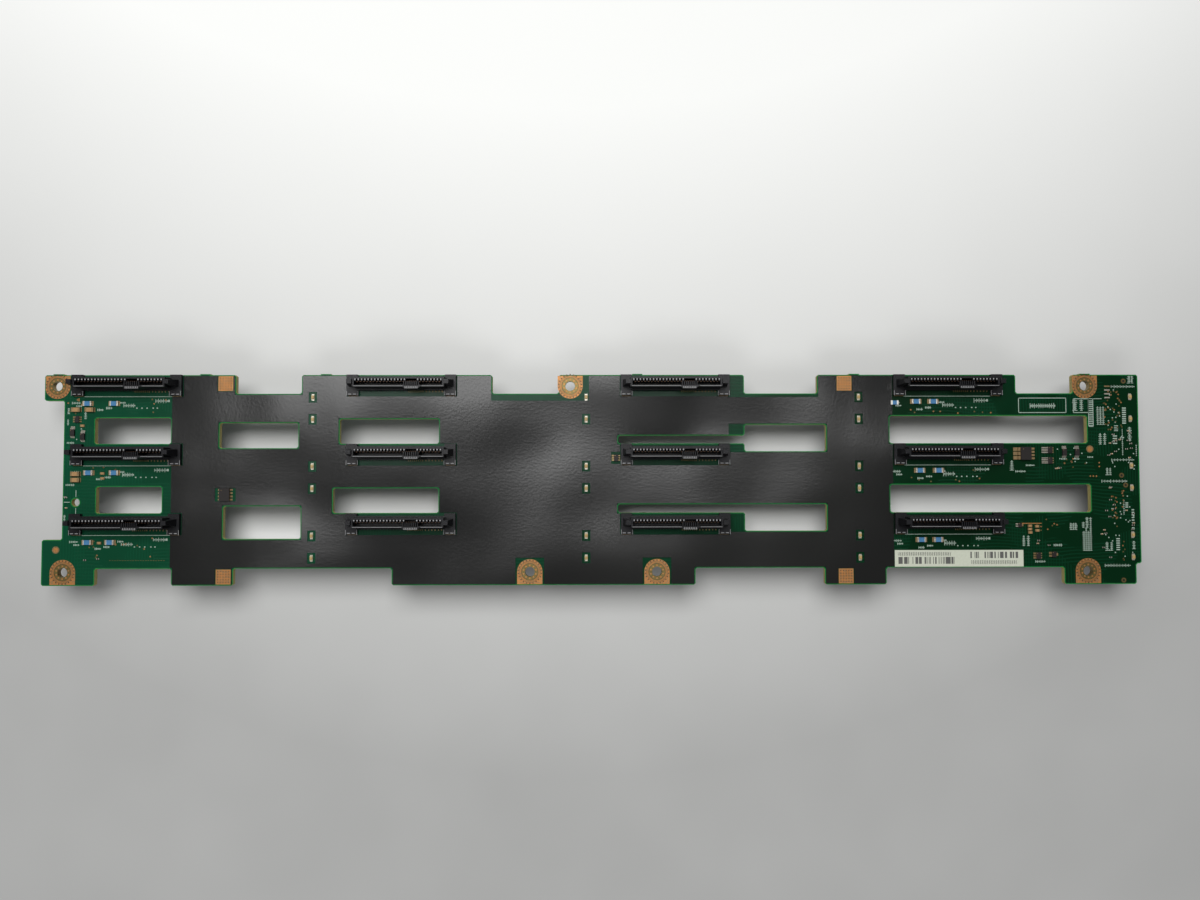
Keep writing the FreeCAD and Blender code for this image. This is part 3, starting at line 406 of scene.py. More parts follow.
dot_disc = disc(0, 0, 1, FRONT, FRONT + LAND * 1.8, 12)
lands = []
for x, y in SCREW_HOLES:
    x, y = x * MM, y * MM
    arch = land_arch(x, y, 1 if y > 0 else -1)
    dress(arch, COPPER)
    halo = ring(x, y, HOLE, HALO * MM, FRONT, FRONT + LAND * 1.4)
    dress(halo, GOLD)
    lands += [arch, halo]
    for inner, outer, finish in ((HALO, 3.4, DOT), (3.65, 3.8, GOLD), (4.05, 4.2, DOT)):
        mark = ring(x, y, inner * MM, outer * MM, FRONT, FRONT + LAND * 1.3)
        dress(mark, finish)
        lands.append(mark)
    for count, reach, size, finish in ((10, 2.5, 0.34, COPPER), (22, 4.55, 0.27, DOT)):
        for index in range(count):
            turn = math.tau * (index + 0.5) / count
            spot = (x + reach * MM * math.cos(turn), y + reach * MM * math.sin(turn), 0)
            place = Matrix.LocRotScale(Vector(spot), None, Vector((size * MM, size * MM, 1)))
            lands.append(cast(dot_disc.data, place, finish))
for x in (-144.6, 99.1):
    for y in (37.9, -37.9):
        corners = (x - SQUARE_HALF, y - SQUARE_HALF, x + SQUARE_HALF, y + SQUARE_HALF)
        lands.append(patch(*corners, LAND, COPPER))
        for across in range(-2, 3):
            for up in range(-2, 3):
                dot_x, dot_y = x + across * STIPPLE_PITCH, y + up * STIPPLE_PITCH
                lands.append(patch(
                    dot_x - STIPPLE_HALF, dot_y - STIPPLE_HALF,
                    dot_x + STIPPLE_HALF, dot_y + STIPPLE_HALF, LAND * 1.6, DOT,
                ))
bpy.data.objects.remove(dot_disc)
mount(join("screw_lands", lands), "land_copper", "ground_lands")


# Small parts soldered to the front: chip fuses with a blue glaze between tinned ends, tan
# chip capacitors, moulded logic chips with tinned leads, the status lights, and round them
# the smallest chips, some in their own places and the rest strewn over their fields.

def tinned():
    tin = Finish("tinned_end", (0.5, 0.48, 0.44), 0.34, Metallic=0.7)
    tin.feed("Base Color", tin.mix(tin.noise(0.6), (0.5, 0.47, 0.41), (0.22, 0.19, 0.15)))
    return tin.bump(tin.noise(0.3), 0.03)


def dull_solder():
    """Solder that has wetted a copper pad, brownish where flux has dried on it."""
    solder = Finish("dull_solder", (0.24, 0.18, 0.1), 0.45, Metallic=0.5)
    solder.feed("Base Color", solder.mix(solder.noise(0.7), (0.24, 0.16, 0.07), (0.09, 0.06, 0.025)))
    return solder.bump(solder.noise(0.3), 0.04)


def ceramic(name, light, dark, roughness=0.4):
    """A baked or moulded body, faintly mottled."""
    body = Finish(name, light, roughness, Specular_IOR_Level=0.2)
    body.feed("Base Color", body.mix(body.noise(0.7), light, dark))
    return body.bump(body.noise(0.25), 0.015)


def soften(piece, width, segments=2):
    """Round every sharp edge of a piece."""
    bevel = piece.modifiers.new("bevel", "BEVEL")
    bevel.width = width
    bevel.segments = segments
    bevel.limit_method = "ANGLE"
    bpy.context.view_layer.objects.active = piece
    bpy.ops.object.modifier_apply(modifier=bevel.name)
    return piece


def seats(node):
    """The lowest and highest corner of every solid of a node."""
    copy = own_copy(node, "seats")
    bpy.ops.object.mode_set(mode="EDIT")
    bpy.ops.mesh.separate(type="LOOSE")
    bpy.ops.object.mode_set(mode="OBJECT")
    found = []
    for piece in list(bpy.context.selected_objects):
        corners = [vertex.co for vertex in piece.data.vertices]
        low = [min(corner[axis] for corner in corners) for axis in range(3)]
        high = [max(corner[axis] for corner in corners) for axis in range(3)]
        found.append((low, high))
        bpy.data.objects.remove(piece)
    return sorted(found)


def seat_at(x, y, length, width, height):
    """A seat on the board for a part of this size, in millimetres."""
    low = (x - length / 2, y - width / 2, FRONT / MM)
    high = (x + length / 2, y + width / 2, FRONT / MM + height)
    return [[value * MM for value in corner] for corner in (low, high)]


def in_seat(low, high, x0, x1, y0, y1, z0, z1):
    """Corners of a block inside a seat, each side as a share of the seat's size."""
    size = [b - a for a, b in zip(low, high)]
    start = [a + s * share for a, s, share in zip(low, size, (x0, y0, z0))]
    end = [a + s * share for a, s, share in zip(low, size, (x1, y1, z1))]
    return start, end


TIN, SOLDER = tinned(), dull_solder()
BLUE = ceramic("blue_glaze", (0.06, 0.17, 0.31), (0.035, 0.11, 0.22), 0.25)
TAN = ceramic("tan_ceramic", (0.3, 0.18, 0.08), (0.2, 0.11, 0.045))
WHITE = ceramic("white_ceramic", (0.6, 0.6, 0.55), (0.45, 0.45, 0.4))
BLACK_CHIP = ceramic("chip_moulding", (0.013, 0.01, 0.009), (0.007, 0.006, 0.006), 0.55)


def capped_chip(low, high, body_finish, cap, cap_finish=TIN, fillet=0.0):
    """A chip with two dipped ends a little proud of it, and solder run up against them."""
    edge = min(high[0] - low[0], high[1] - low[1])
    body = slab(*in_seat(low, high, cap * 0.6, 1 - cap * 0.6, 0.04, 0.96, 0, 0.94), body_finish)
    parts = [soften(body, edge * 0.05)]
    for start, end in ((0, cap), (1 - cap, 1)):
        tip = slab(*in_seat(low, high, start, end, 0, 1, 0, 1), cap_finish)
        parts.append(soften(tip, edge * 0.07))
    if fillet:
        for start, end in ((-fillet, 0.02), (0.98, 1 + fillet)):
            parts.append(slab(*in_seat(low, high, start, end, 0.03, 0.97, 0, 0.12), SOLDER))
    return parts


fuses = [part for seat in seats("chip_fuses") for part in capped_chip(*seat, BLUE, 0.2, TIN, 0.16)]
mount(join("fuse_chips", fuses), "fuse_blue", "chip_fuses")
capacitors = [
    part for seat in seats("chip_capacitors") for part in capped_chip(*seat, TAN, 0.22, SOLDER, 0.08)
]
mount(join("capacitor_chips", capacitors), "capacitor_tan", "chip_capacitors")

# The sides of a chip, each as the axis that it faces and whether it is the far side.
LEFT, RIGHT, BELOW, ABOVE = (0, 0), (0, 1), (1, 0), (1, 1)


def lead_row(low, high, side, count, reach, finish, share=0.5):
    """Bent leads along one side of a chip: a flat foot on the board and a raised shoulder."""
    axis, end = side
    other = 1 - axis
    pitch = (high[other] - low[other]) / count
    outward = 1 if end else -1
    face = (high if end else low)[axis]
    tall = high[2] - low[2]
    leads = []
    for index in range(count):
        middle = low[other] + (index + 0.5) * pitch
        for start, stop, foot, top in ((-0.1, 1.0, 0.0, 0.16), (-0.25, 0.35, 0.12, 0.55)):
            ends = sorted(face + outward * reach * part for part in (start, stop))
            near, far = [0, 0, low[2] + tall * foot], [0, 0, low[2] + tall * top]
            near[axis], far[axis] = ends
            near[other], far[other] = middle - pitch * share / 2, middle + pitch * share / 2
            leads.append(slab(near, far, finish))
    return leads


def leaded_chip(low, high, *rows):
    """A moulded chip with rows of leads, and a dimple that marks its first lead."""
    body = soften(slab(*in_seat(low, high, 0, 1, 0, 1, 0.08, 1), BLACK_CHIP), 0.1 * MM)
    dimple = disc(
        low[0] + (high[0] - low[0]) * 0.22, high[1] - (high[1] - low[1]) * 0.16, 0.16 * MM,
        high[2] - 0.02 * MM, high[2] + 0.01 * MM, 12,
    )
    dress(dimple, SOLDER)
    return [body, dimple, *(lead for row in rows for lead in lead_row(low, high, *row))]


film_driver, wide_driver = seats("driver_chips")
drivers = [
    *leaded_chip(*wide_driver, (LEFT, 3, 2.6 * MM, SOLDER, 0.8), (RIGHT, 4, 1.7 * MM, SOLDER, 0.6)),
    *leaded_chip(*film_driver, (LEFT, 4, 0.8 * MM, SOLDER), (RIGHT, 4, 0.8 * MM, SOLDER)),
]
mount(join("driver_chip_bodies", drivers), "chip_black", "driver_chips")

ENDWISE = (ABOVE, 4, 1.2 * MM, TIN, 0.6), (BELOW, 4, 0.8 * MM, TIN)
LONG_LEGS = (LEFT, 4, 2.3 * MM, TIN), (RIGHT, 3, 0.7 * MM, SOLDER)
SHORT_LEGS = (LEFT, 3, 0.9 * MM, SOLDER, 0.7), (RIGHT, 3, 0.7 * MM, SOLDER)
# The leads of each sensor chip, from left to right.
SENSOR_LEADS = (
    ENDWISE, SHORT_LEGS, ENDWISE, SHORT_LEGS, SHORT_LEGS, LONG_LEGS, ENDWISE, ENDWISE,
)
sensors = []
for seat, rows in zip(seats("sensor_chips"), SENSOR_LEADS):
    sensors += leaded_chip(*seat, *rows)
mount(join("sensor_chip_bodies", sensors), "chip_black", "sensor_chips")

CREAM = ceramic("light_package", (0.4, 0.36, 0.24), (0.24, 0.2, 0.12), 0.45)
AMBER = ceramic("light_lens", (0.38, 0.27, 0.12), (0.24, 0.15, 0.05), 0.2)
lights = []
for low, high in seats("status_lights"):
    foot = slab(*in_seat(low, high, 0, 1, 0.06, 0.94, 0, 0.45), CREAM)
    lens = slab(*in_seat(low, high, 0.1, 0.9, 0.24, 0.76, 0.4, 1), AMBER)
    lights += [soften(foot, 0.05 * MM), soften(lens, 0.12 * MM)]
    for start, end in ((-0.14, 0.1), (0.9, 1.14)):
        lights.append(slab(*in_seat(low, high, 0.08, 0.92, start, end, 0, 0.2), TIN))
mount(join("light_packages", lights), "light_white", "status_lights")

tiny = []
for x, y, length, width, height, *rows in (
    (180.0, 7.3, 1.7, 2.6, 0.9, *LONG_LEGS),
    (180.8, -29.6, 1.7, 2.2, 0.9, (LEFT, 2, 0.9 * MM, SOLDER, 0.7), (RIGHT, 1, 0.9 * MM, SOLDER)),
    (167.6, -18.1, 1.4, 1.7, 0.8, (LEFT, 2, 0.8 * MM, TIN), (RIGHT, 1, 0.8 * MM, SOLDER)),
):
    tiny += leaded_chip(*seat_at(x, y, length, width, height), *rows)
tiny += capped_chip(*seat_at(118.9, 30.2, 3.0, 1.7, 0.8), BLUE, 0.24, WHITE)
for x, y in (
    (-192.25, 2.6), (-192.2, 0.67), (-200.4, 21.3), (-193.0, -24.6), (171.6, -18.4),
    (171.6, -19.7), (171.7, -21.0), (174.4, -18.6), (174.5, -20.2),
):
    tiny += capped_chip(*seat_at(x, y, 1.7, 1.0, 0.5), TAN, 0.25, SOLDER)

spots = random.Random(11)


def strewn(*fields):
    """Places in millimetres, a number of them in each field: left, right, low, high, number."""
    for left, right, low, high, count in fields:
        for _ in range(count):
            yield spots.uniform(left, right), spots.uniform(low, high)


for x, y in strewn(
    (203, 208, 9, 19, 9), (209.5, 213.5, 8, 21, 7), (202, 206, -15, -3, 7),
    (209, 213.5, -20, -5, 5), (200, 205, -32, -20, 5), (182, 188, 3.5, 6.5, 3),
    (-207.0, -205.6, -12, -3, 3), (-200, -192, -32, -27, 2), (173, 183, -27.5, -24, 3),
):
    body = spots.choice((BLACK_CHIP, BLACK_CHIP, TAN))
    tiny += capped_chip(*seat_at(x, y, 1.0, 0.5, 0.35), body, 0.26)
mount(join("tiny_chips", tiny), "chip_black")


# Plated points. Gold-washed vias and holes, copper aiming spots for the assembly machine,
# and short open tracks, all in the surface of the board.

VIA = 0.3 * MM
via = disc(0, 0, VIA, FRONT, FRONT + LAND * 0.6, 10)
# The dark disc in the middle of each via is painted shade, standing for its open hole.
via_hole_shade = disc(0, 0, VIA * 0.45, FRONT, FRONT + LAND * 0.8, 8)
points = []
for x, y in strewn(
    (201.7, 208.9, 19.3, 35.9, 38), (204.2, 206.4, -19.3, -4.4, 15), (208.3, 209.6, -16.8, -4.0, 8),
    (208.0, 209.0, -32.0, -24.0, 7), (173.0, 183.0, -21.0, -15.0, 8), (182.5, 195.0, 4.5, 8.0, 7),
    (-207.0, -200.0, 25.5, 32.0, 9), (-199.0, -186.0, 3.6, 5.2, 5), (-198.0, -170.0, -31.0, -22.5, 12),
    (120.0, 160.0, 26.0, 28.0, 8), (120.0, 160.0, -1.5, 5.0, 8), (-175.0, -168.0, 26.0, 32.0, 4),
):
    place = Matrix.Translation((x * MM, y * MM, 0))
    points.append(cast(via.data, place, spots.choice((COPPER, GOLD))))
    points.append(cast(via_hole_shade.data, place, DOT))
for x, y in ((199.6, 6.4), (199.6, 4.9), (196.0, 1.1), (197.2, 1.1), (198.4, 1.1)):
    points.append(cast(via.data, Matrix.Translation((x * MM, y * MM, 0)), COPPER))
for part in (via, via_hole_shade):
    bpy.data.objects.remove(part)

for x, y in ((209.85, 38.7), (208.35, 1.4), (209.9, -2.45), (208.3, -39.75)):
    for inner, outer, finish in ((0.45, 0.85, GOLD), (0.85, 1.0, DOT)):
        collar = ring(x * MM, y * MM, inner * MM, outer * MM, FRONT, FRONT + LAND, 24)
        dress(collar, finish)
        points.append(collar)
    # The black disc inside each collar is painted shade, standing for the dark inside of its hole.
    dark_bore_shade = disc(x * MM, y * MM, 0.46 * MM, FRONT, FRONT + LAND * 0.5, 16)
    dress(dark_bore_shade, BLACK_CHIP)
    points.append(dark_bore_shade)
for x, y in ((196.0, 11.8), (-210.0, -27.3)):
    spot = disc(x * MM, y * MM, 1.0 * MM, FRONT, FRONT + LAND, 28)
    dress(spot, COPPER)
    margin = ring(x * MM, y * MM, 1.05 * MM, 1.4 * MM, FRONT, FRONT + LAND * 0.6, 32)
    dress(margin, SOLDER)
    points += [spot, margin]

TRACK = LAND * 0.5
points.append(patch(168.6, -17.6, 176.4, -17.3, TRACK, COPPER))
points += [patch(-189.0 + step, -31.55, -188.6 + step, -31.3, TRACK, GOLD) for step in range(22)]
for step, finish in enumerate((SOLDER, TIN, TIN, TIN)):
    points.append(patch(202.2, 36.4 - 1.5 * step, 204.4, 36.9 - 1.5 * step, TRACK, finish))
mount(join("plated_points", points), "land_copper")


# Silkscreen. White ink printed in thin lines on the mask: a line below each receptacle,
# frames and ladders at the right end, cross hairs round the tooling hole, and rows of short
# dashes beside the small parts, where a real board has its lettering.

def white_ink():
    ink = Finish("white_ink", (0.4, 0.46, 0.4), 0.6)
    return ink.feed("Base Color", ink.mix(ink.noise(0.5), (0.36, 0.42, 0.37), (0.12, 0.19, 0.14)))


INK = white_ink()
THIN = 0.22


def printed(x0, y0, x1, y1):
    """A patch of ink between two corners, in millimetres."""
    return patch(x0, y0, x1, y1, 0.02 * MM, INK)


def frame_of(x0, y0, x1, y1, width=0.25):
    """Four lines round a field."""
    return [
        printed(x0, y0, x1, y0 + width), printed(x0, y1 - width, x1, y1),
        printed(x0, y0, x0 + width, y1), printed(x1 - width, y0, x1, y1),
    ]


def dashes(x, y, count, tall, pitch, upright=False):
    """A row of marks, each a long stroke of uneven length with a short one beside it."""
    made = []
    for index in range(count):
        long, short = tall * spots.uniform(0.7, 1.15), tall * spots.uniform(0.2, 0.4)
        for along, wide, high in (
            (index * pitch, THIN, long), (index * pitch + pitch * 0.4, pitch * 0.4, short),
        ):
            start, end = (along, -high / 2), (along + wide, high / 2)
            if upright:
                start, end = start[::-1], end[::-1]
            made.append(printed(x + start[0], y + start[1], x + end[0], y + end[1]))
    return made


def ladder(x0, x1, y0, y1, rungs, thick):
    """Rungs of ink, evenly spaced between two levels."""
    levels = [y0 + (y1 - y0) / rungs * index for index in range(rungs)]
    return [printed(x0, level, x1, level + thick) for level in levels]


HALF_LINE = 17.2
film_low, film_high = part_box("insulator_film")
marks = []
for index in range(12):
    low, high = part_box(f"drive_connector_{index}")
    x, y = (low[0] + high[0]) / 2 / MM, (low[1] + high[1]) / 2 / MM
    if film_low[0] / MM < x < film_high[0] / MM:
        continue
    marks.append(printed(x - HALF_LINE, y - 4.5, x + HALF_LINE, y - 4.5 + THIN))
    marks += dashes(x + 10.7, y - 6.1, 5, 1.5, 1.0)
    marks.append(printed(x + 15.6, y - 6.5, x + 16.3, y - 5.6))
    marks += dashes(x - 1.8, y - 7.9, 5, 1.6, 0.95)
    marks += [printed(x + at, y - 9.1, x + at + 0.5, y - 8.7) for at in (3.2, 5.2, 7.2, 9.6, 11.2)]
    for across, down, count, tall, pitch in (
        (-8.6, 8.9, 4, 0.9, 0.62), (-3.2, 6.8, 4, 0.8, 0.6), (-22.0, 6.9, 5, 0.9, 0.7),
        (-20.3, 8.1, 4, 0.8, 0.6), (-12.0, 9.6, 4, 0.9, 0.62),
    ):
        marks += dashes(x + across, y - down, count, tall, pitch)

FLAT, UPRIGHT = False, True
for row in (
    (-206.0, 26.0, 4, 0.9, 0.6, UPRIGHT), (-206.2, 21.6, 4, 0.8, 0.6, UPRIGHT),
    (-199.4, 24.0, 4, 1.0, 0.7, UPRIGHT), (-206.5, 14.6, 5, 0.8, 0.6, FLAT),
    (-206.6, -1.9, 5, 0.9, 0.7, FLAT), (-206.9, -17.0, 5, 0.9, 0.7, UPRIGHT),
    (172.6, 28.9, 12, 2.0, 0.85, FLAT), (190.4, 27.0, 6, 1.9, 0.75, UPRIGHT),
    (193.0, 27.0, 6, 1.4, 0.75, UPRIGHT), (199.4, 21.4, 9, 1.0, 0.82, UPRIGHT),
    (200.5, 21.4, 9, 1.0, 0.82, UPRIGHT), (201.6, 21.4, 9, 0.9, 0.82, UPRIGHT),
    (204.9, 36.5, 8, 1.1, 1.2, FLAT), (212.2, 37.8, 5, 1.6, 0.62, UPRIGHT),
    (213.2, 37.8, 5, 1.2, 0.62, UPRIGHT), (200.2, 13.6, 6, 1.2, 0.75, UPRIGHT),
    (202.0, 13.6, 6, 1.2, 0.75, UPRIGHT), (204.5, 7.5, 8, 1.0, 1.15, FLAT),
    (202.7, 1.5, 4, 1.2, 0.75, UPRIGHT), (203.9, 1.5, 4, 1.0, 0.75, UPRIGHT),
    (200.4, -0.9, 9, 1.1, 1.15, FLAT), (201.0, -34.0, 9, 1.1, 1.15, FLAT),
    (169.2, -26.3, 6, 1.2, 0.7, UPRIGHT), (171.0, -26.3, 6, 1.2, 0.7, UPRIGHT),
    (187.9, -20.0, 4, 1.2, 0.7, UPRIGHT), (189.8, -20.0, 4, 1.4, 0.7, UPRIGHT),
    (192.8, -19.2, 4, 1.0, 0.6, UPRIGHT), (194.3, -19.2, 7, 1.2, 0.6, UPRIGHT),
    (193.0, -28.2, 10, 1.2, 0.78, UPRIGHT), (194.8, -28.2, 10, 1.2, 0.78, UPRIGHT),
    (193.9, -28.2, 12, 0.9, 0.78, UPRIGHT), (195.7, -28.2, 17, 0.9, 0.78, UPRIGHT),
    (189.0, -20.0, 4, 1.2, 0.7, UPRIGHT), (202.0, -28.2, 5, 1.4, 0.7, UPRIGHT),
    (203.8, -28.2, 5, 1.2, 0.7, UPRIGHT), (165.0, 3.4, 5, 1.6, 0.8, UPRIGHT),
    (166.4, 3.0, 6, 0.9, 0.7, FLAT), (184.6, 7.9, 4, 0.6, 0.6, FLAT),
    (189.6, 7.9, 4, 0.6, 0.6, FLAT), (211.9, 15.0, 8, 1.5, 0.7, UPRIGHT),
    (209.0, 9.4, 14, 0.5, 0.75, UPRIGHT), (214.4, 9.0, 6, 0.5, 0.8, UPRIGHT),
    (209.0, -14.0, 8, 0.5, 0.75, UPRIGHT), (212.6, -27.6, 5, 1.2, 0.65, UPRIGHT),
    (170.6, 5.4, 6, 0.7, 0.6, FLAT), (195.0, 8.6, 4, 0.6, 0.6, FLAT),
    (181.0, -26.0, 5, 1.0, 0.7, FLAT), (173.6, -32.4, 6, 0.9, 0.7, FLAT),
):
    marks += dashes(*row)
marks += frame_of(168.0, 26.1, 187.0, 32.1) + frame_of(189.7, 26.1, 195.9, 31.8)
marks += frame_of(195.7, 20.6, 197.7, 31.8, 0.2) + ladder(195.9, 197.5, 20.9, 31.4, 14, 0.3)
marks.append(printed(197.7, 31.6, 201.1, 31.8))
marks += ladder(209.1, 210.6, 21.8, 28.6, 8, 0.45) + ladder(212.0, 213.0, -19.5, -11.4, 8, 0.45)
marks += ladder(209.6, 210.7, -11.3, -8.9, 3, 0.4) + ladder(205.7, 207.1, -28.0, -22.9, 6, 0.4)
marks += ladder(205.8, 207.4, 18.9, 21.5, 4, 0.25) + ladder(205.2, 206.9, 13.8, 17.7, 4, 0.4)

TOOLING_HOLE = (-202.65, -8.75)
HAIR_START, SIDE_HAIR_END, HAIR_END = 2.2, 4.6, 4.8
x, y = TOOLING_HOLE
marks.append(printed(x - SIDE_HAIR_END, y, x - HAIR_START, y + THIN))
marks.append(printed(x, y + HAIR_START, x + THIN, y + HAIR_END))
marks.append(printed(x, y - HAIR_END, x + THIN, y - HAIR_START))
for x, y in strewn(
    (203.0, 208.5, 20.0, 35.0, 14), (204.5, 213.5, 3.5, 19.0, 16), (204.0, 213.5, -20.0, -4.0, 14),
    (200.0, 212.5, -32.5, -22.0, 10), (181.5, 194.5, 5.0, 12.8, 8), (-206.0, -198.0, 13.0, 25.0, 6),
):
    marks.append(printed(x, y, x + 0.42, y + 0.42))
mount(join("ink_marks", marks), "label_white")


# Label. White paper with printed bars and no words, stuck near the lower right corner.

def printed_paper():
    """Off-white paper with two fields of bars and two lines of broken strokes."""
    paper = Finish("label_paper", (0.58, 0.6, 0.5), 0.7)
    grain = paper.noise(0.8, 3)
    low, high = (Vector(corner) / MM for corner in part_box("board_label"))
    across, up = paper.along(0) - low.x, paper.along(1) - low.y
    strip = {"W": across.math("FLOOR", across * 3.6)}
    stripes = paper.node("ShaderNodeTexWhiteNoise", {"noise_dimensions": "1D"}, strip) > 0.42
    left = (across > 1.2) * (across < 23.5) * (up > 1.1) * (up < 3.8)
    right = (across > 29.5) * (across < 48.5) * (up > 3.3) * (up < 5.8)
    letters = (across % 0.9 < 0.6) * ((across * 2.3 + up * 1.7) % 0.7 > 0.3)
    lines = (across > 1.2) * (across < 22) * (up > 4.3) * (up < 5.7)
    lines = lines + (across > 30) * (across < 48) * (up > 1.0) * (up < 2.5)
    ink = stripes * (left + right) + letters * lines
    white = paper.mix(grain, (0.42, 0.44, 0.36), (0.34, 0.36, 0.29))
    paper.feed("Base Color", paper.mix(ink, white, (0.06, 0.06, 0.055)))
    return paper.bump(grain, 0.02)


wear("board_label", printed_paper())


# Drive receptacles. Glass-filled black mouldings, soldered down by two flanges. Ribs part
# the contacts and the bump has fine teeth; rib tips, bump tops, lower lip and flange marks get a painted
# highlight in light grey.

def glass_filled(name, light):
    """Black plastic filled with glass fibre, dull where the fibres show."""
    dark = tuple(part * 0.55 for part in light)
    plastic = Finish(name, light, 0.36, Specular_IOR_Level=0.17)
    plastic.feed("Base Color", plastic.mix(plastic.noise(2.5, 4), light, dark))
    plastic.feed("Roughness", plastic.noise(0.8) * 0.16 + 0.26)
    return plastic.bump(plastic.noise(0.22, 3), 0.02)


# Light grey that paints a highlight on the black moulding, where its tips and edges catch the lamp.
def painted_highlight_edge():
    worn = Finish("painted_highlight_edge", (0.13, 0.13, 0.13), 0.5)
    return worn.feed("Base Color", worn.mix(worn.noise(0.5), (0.29, 0.29, 0.29), (0.09, 0.09, 0.095)))


# The contact gold is painted far darker than bright gold, a painted shade for contacts that sit deep in
# the slots.
def spring_gold():
    gold = Finish("spring_gold", (0.14, 0.075, 0.03), 0.4, Metallic=0.85)
    return gold.feed("Base Color", gold.mix(gold.noise(1.5), (0.06, 0.032, 0.018), (0.02, 0.012, 0.008)))


HOUSING, HIGHLIGHT_GREY = glass_filled("receptacle_moulding", (0.0075, 0.0075, 0.009)), painted_highlight_edge()
PITCH, FINE_PITCH = 1.27, 0.8
POWER_START, SIGNAL_START, FINE_START = -15.875, 8.255, 2.68
CAVITY_FLOOR, CREST = 2.4, 8.15
BUMP_MIDDLE = 5.08

seat_low, seat_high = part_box("drive_connector_0")
seat = Vector(((seat_low[0] + seat_high[0]) / 2, (seat_low[1] + seat_high[1]) / 2, seat_low[2]))
shell = own_copy("drive_connector_0", "receptacle_shell")
shell.data.transform(Matrix.Translation(-seat))
soften(shell, 0.09 * MM)
dress(shell, HOUSING)


def bar(x, y0, y1, width, low, high, finish):
    """A bar across the receptacle, in millimetres from the middle of its seat."""
    corners = (x - width / 2, y0, low), (x + width / 2, y1, high)
    return slab(*([part * MM for part in corner] for corner in corners), finish)


def comb(start, pitch, count, *reach):
    """Such bars at an even pitch along the receptacle."""
    return [bar(start + index * pitch, *reach) for index in range(count)]


details = [shell]
# Ribs between the contacts, and a painted highlight in light grey on their tips.
for start, count in ((POWER_START, 16), (SIGNAL_START, 8)):
    details += comb(start - PITCH / 2, PITCH, count, 0.88, 1.83, 0.57, CAVITY_FLOOR, CREST, HOUSING)
    details += comb(start - PITCH / 2, PITCH, count, 1.3, 1.8, 0.46, 8.1, 8.22, HIGHLIGHT_GREY)
fine = FINE_START - FINE_PITCH / 2
details += comb(fine, FINE_PITCH, 8, -0.82, 0.74, 0.36, CAVITY_FLOOR, CREST, HOUSING)
# Teeth along the bump, and a painted highlight in light grey on their tops.
TOOTH_PITCH = 0.66
first = BUMP_MIDDLE - 3.5 * TOOTH_PITCH
details += comb(first, TOOTH_PITCH, 8, -1.99, -1.8, 0.3, 2.0, 8.2, HOUSING)
details += comb(first, TOOTH_PITCH, 8, -1.8, -1.2, 0.24, 8.18, 8.23, HIGHLIGHT_GREY)
# The lip along the lower side, with a painted highlight in light grey along its edge.
details.append(bar(-7.7, -1.12, -0.98, 18.9, 8.18, 8.22, HIGHLIGHT_GREY))
details.append(bar(13.2, -1.12, -0.98, 8.3, 8.18, 8.22, HIGHLIGHT_GREY))
details.append(bar(BUMP_MIDDLE, -1.94, -1.84, 5.3, 8.18, 8.22, HIGHLIGHT_GREY))
# Painted highlights in light grey along the flanges' ends and on the ridges at their near side, plain
# ridges at their far side, and the solder along them.
for x in (-21.3, 21.3, -16.9, 16.9):
    details.append(bar(x, -4.2, -2.3, 0.16, 1.8, 1.92, HIGHLIGHT_GREY))
for x in (-20.15, -18.25, 18.25, 20.15):
    details.append(bar(x, -3.75, -3.45, 1.2, 1.85, 1.93, HIGHLIGHT_GREY))
    details.append(bar(x, 2.9, 3.15, 1.2, 1.85, 1.93, HOUSING))
for x in (-19.2, 19.2):
    details.append(bar(x, -4.35, -4.05, 3.6, 0.0, 0.3, SOLDER))
# Tails of the signal, fine and power contacts.
details += comb(SIGNAL_START, PITCH, 7, -2.75, -2.0, 0.34, 0.02, 0.25, SOLDER)
details += comb(FINE_START, FINE_PITCH, 7, -2.75, -2.0, 0.26, 0.02, 0.25, SOLDER)
details += comb(POWER_START, PITCH, 15, -2.45, -2.0, 0.5, 0.02, 0.2, HOUSING)

receptacle = join("receptacle_0", details)
GOLD_SPRING = spring_gold()
for index in range(12):
    low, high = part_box(f"drive_connector_{index}")
    place = Vector(((low[0] + high[0]) / 2, (low[1] + high[1]) / 2, low[2]))
    piece = cast(receptacle.data, Matrix.Translation(place))
    piece.name = f"receptacle_{index}_moulding"
    mount(piece, "housing_black", f"drive_connector_{index}")
    wear(f"drive_contacts_{index}", GOLD_SPRING)
bpy.data.objects.remove(receptacle)


# Rear side. Cable ports of tinned sheet round black cores with gold contacts, black headers
# with square pins, a leaded controller chip, solder points where the parts are fixed, and
# chip resistors and capacitors strewn beside them.

def tinned_sheet():
    sheet = Finish("port_sheet", (0.6, 0.6, 0.58), 0.34, Metallic=0.9)
    sheet.feed("Base Color", sheet.mix(sheet.noise(5, 3), (0.66, 0.66, 0.63), (0.42, 0.42, 0.41)))
    sheet.feed("Roughness", sheet.noise(2) * 0.2 + 0.25)
    return sheet.bump(sheet.noise(0.6), 0.02)


SHEET = tinned_sheet()
HEADER = glass_filled("header_moulding", (0.02, 0.02, 0.022))
for index in range(3):
    wear(f"port_shell_{index}", SHEET)
    wear(f"port_core_{index}", HEADER)
for index in range(2):
    wear(f"power_header_{index}", HEADER)
    wear(f"power_pins_{index}", TIN)
wear("management_header", HEADER)
wear("management_pins", TIN)
wear("controller_chip", BLACK_CHIP)

